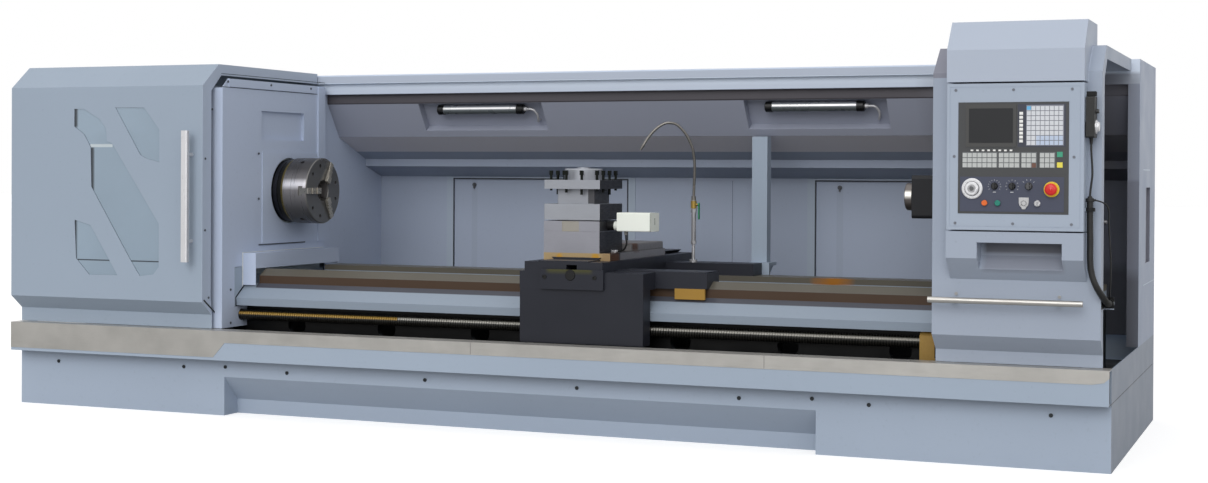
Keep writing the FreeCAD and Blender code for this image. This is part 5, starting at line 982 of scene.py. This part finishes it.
# The routes of the cables, from the part's own points in metres.
HOSE_ROUTE = [(2.544, -0.967, 1.05), (2.544, -0.967, 0.97), (2.546, -0.966, 0.893),
              (2.545, -0.968, 0.829), (2.552, -0.967, 0.769), (2.572, -0.964, 0.721),
              (2.597, -0.929, 0.676), (2.6, -0.867, 0.656), (2.6, -0.815, 0.656)]
PENDANT_ROUTE = [(2.547, -0.967, 1.269), (2.5475, -0.967, 1.237), (2.551, -0.968, 1.197),
                 (2.553, -0.969, 1.151), (2.548, -0.968, 1.116), (2.5445, -0.967, 1.086),
                 (2.544, -0.967, 1.064)]
LOOP_ROUTE = [(2.559, -0.967, 1.057), (2.585, -0.963, 1.054), (2.613, -0.945, 1.031),
              (2.606, -0.907, 0.965), (2.612, -0.883, 0.857), (2.612, -0.871, 0.7864),
              (2.609, -0.859, 0.7224), (2.604, -0.837, 0.6864), (2.6, -0.811, 0.6764)]
MOTOR_ROUTE = [(0.486, -0.555, 0.876), (0.486, -0.555, 0.86), (0.491, -0.553, 0.842),
               (0.48, -0.547, 0.8163), (0.464, -0.541, 0.8033), (0.438, -0.537, 0.8013)]


def add_cables():
    """The ribbed hose with its collar, the thin leads beside it, and the lead of the tool post's drive."""
    rubber = moulded("hose_rubber", (0.05, 0.051, 0.05), 0.55, 300.0)
    lead = moulded("lead_sleeve", (0.05, 0.052, 0.052), 0.5, 500.0)
    guide = route_curve("hose_guide", HOSE_ROUTE, 0.0)
    line = spline_line(guide)
    bpy.data.objects.remove(guide)
    hose = piece("cable_hose", ribbed_mesh(line, 0.013, 0.0065), rubber, "station", smooth=True)
    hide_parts("cable_conduit")
    mesh = bmesh.new()
    x, y, z = HOSE_ROUTE[0]
    add_disc(mesh, (x, y, z + 0.007), 0.016, 0.014, "Z", 24, 0.002)
    add_disc(mesh, (x, y, z + 0.018), 0.0115, 0.01, "Z", 24, 0.001, top=0.006)
    add_disc(mesh, (x + 0.016, y, z + 0.007), 0.0045, 0.012, "X", 16, 0.0006)
    collar = piece("hose_collar", mesh, rubber, "station")
    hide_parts("pendant_cord")
    for name, route, radius, length, body, node in (
            ("pendant_lead", PENDANT_ROUTE, 0.004, 0.206, "station", "pendant_cord"),
            ("loop_lead", LOOP_ROUTE, 0.003, 0.457, "station", "pendant_cord"),
            ("drive_lead", MOTOR_ROUTE, 0.004, 0.11, "cross_slide", "motor_lead")):
        cable = route_curve(name, route, radius)
        cable.data.materials.append(lead)
        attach(cable, body)
        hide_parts(node)


# ---- surroundings ----
def add_floor():
    """A wide white floor that keeps the machine's shadow."""
    mesh = bmesh.new()
    bmesh.ops.create_grid(mesh, x_segments=1, y_segments=1, size=60.0)
    data = bpy.data.meshes.new("floor")
    mesh.to_mesh(data)
    mesh.free()
    floor = new_object("floor", data)
    material, tree, shader, place = blank_material("floor_white")
    shader.inputs["Roughness"].default_value = 0.9
    shader.inputs["Specular IOR Level"].default_value = 0.1
    tone = blend(tree, spread(tree, noise(tree, place, 0.8), 0.0, 1.0), linear((0.775, 0.775, 0.775)),
                 linear((0.785, 0.785, 0.785)))
    tree.links.new(tone, shader.inputs["Base Color"])
    glow = add(tree, "ShaderNodeEmission", Strength=0.62)
    glow.inputs["Color"].default_value = (1, 1, 1, 1)
    none = add(tree, "ShaderNodeEmission", Strength=0.0)
    seen = add(tree, "ShaderNodeLightPath").outputs["Is Camera Ray"]
    shown = add(tree, "ShaderNodeMixShader")
    tree.links.new(seen, shown.inputs[0])
    tree.links.new(none.outputs[0], shown.inputs[1])
    tree.links.new(glow.outputs[0], shown.inputs[2])
    both = add(tree, "ShaderNodeAddShader")
    tree.links.new(shader.outputs[0], both.inputs[0])
    tree.links.new(shown.outputs[0], both.inputs[1])
    tree.links.new(both.outputs[0], tree.nodes["Material Output"].inputs["Surface"])
    data.materials.append(material)


WORLD_LEVEL = 0.52
LAMPS = (("key", (0.05, -0.85, 0.42), 1.3, 40.0), ("fill", (0.9, -0.42, 0.25), 0.42, 60.0),
         ("top", (-0.1, -0.3, 1.0), 0.45, 60.0))


def add_light():
    """White surroundings, with wide soft lamps from the front, the right and above."""
    world = bpy.data.worlds.new("studio")
    bpy.context.scene.world = world
    world.use_nodes = True
    tree = world.node_tree
    tree.nodes.clear()
    shown = add(tree, "ShaderNodeBackground", Strength=1.0)
    lighting = add(tree, "ShaderNodeBackground", Strength=WORLD_LEVEL)
    for light in (shown, lighting):
        light.inputs["Color"].default_value = (1, 1, 1, 1)
    path = add(tree, "ShaderNodeLightPath")
    direct = math(tree, "MAXIMUM", path.outputs["Is Camera Ray"], path.outputs["Is Transmission Ray"])
    direct = math(tree, "MAXIMUM", direct, path.outputs["Is Glossy Ray"])
    mix = add(tree, "ShaderNodeMixShader")
    tree.links.new(direct, mix.inputs[0])
    tree.links.new(lighting.outputs[0], mix.inputs[1])
    tree.links.new(shown.outputs[0], mix.inputs[2])
    tree.links.new(mix.outputs[0], add(tree, "ShaderNodeOutputWorld").inputs["Surface"])
    for name, comes_from, power, width in LAMPS:
        lamp = bpy.data.lights.new(name, "SUN")
        lamp.energy = power
        lamp.angle = radians(width)
        holder = new_object(name, lamp)
        holder.location = Vector(comes_from) * 8
        holder.rotation_euler = (-Vector(comes_from)).to_track_quat("-Z", "Y").to_euler()


def add_camera():
    """The photograph's viewpoint, from the right and at chest height."""
    data = bpy.data.cameras.new("camera")
    camera = new_object("camera", data)
    ahead = Vector((-0.378596, 0.925533, -0.007337))
    right = Vector((0.925529, 0.378637, 0.005437))
    up = Vector((-0.00781, 0.004732, 0.999958))
    turn = Matrix((right, up, -ahead)).transposed().to_4x4()
    camera.matrix_world = Matrix.Translation((3.4225, -7.9934, 1.1485)) @ turn
    data.sensor_width = 36.0
    data.lens = 53.615
    data.shift_y = -0.0454
    data.clip_end = 100.0
    bpy.context.scene.camera = camera


def main():
    add_camera()
    add_cables()
    finish_guard()
    finish_door()
    finish_station()
    finish_steelwork()
    finish_bed()
    finish_chuck()
    finish_carriage()
    finish_tool_post()
    finish_coolant()
    finish_tailstock()
    finish_lamps()
    finish_controls()
    finish_panel()
    add_panel_marks()
    add_gaskets()
    add_station_marks()
    add_cap_screws()
    add_door_wiper()
    add_partition_trim()
    add_base_marks()
    add_jaw_tops()
    add_saddle_marks()
    add_riser_sleeve()
    add_lead_socket()
    add_floor()
    add_light()
    bpy.context.scene.view_settings.view_transform = "Standard"


main()
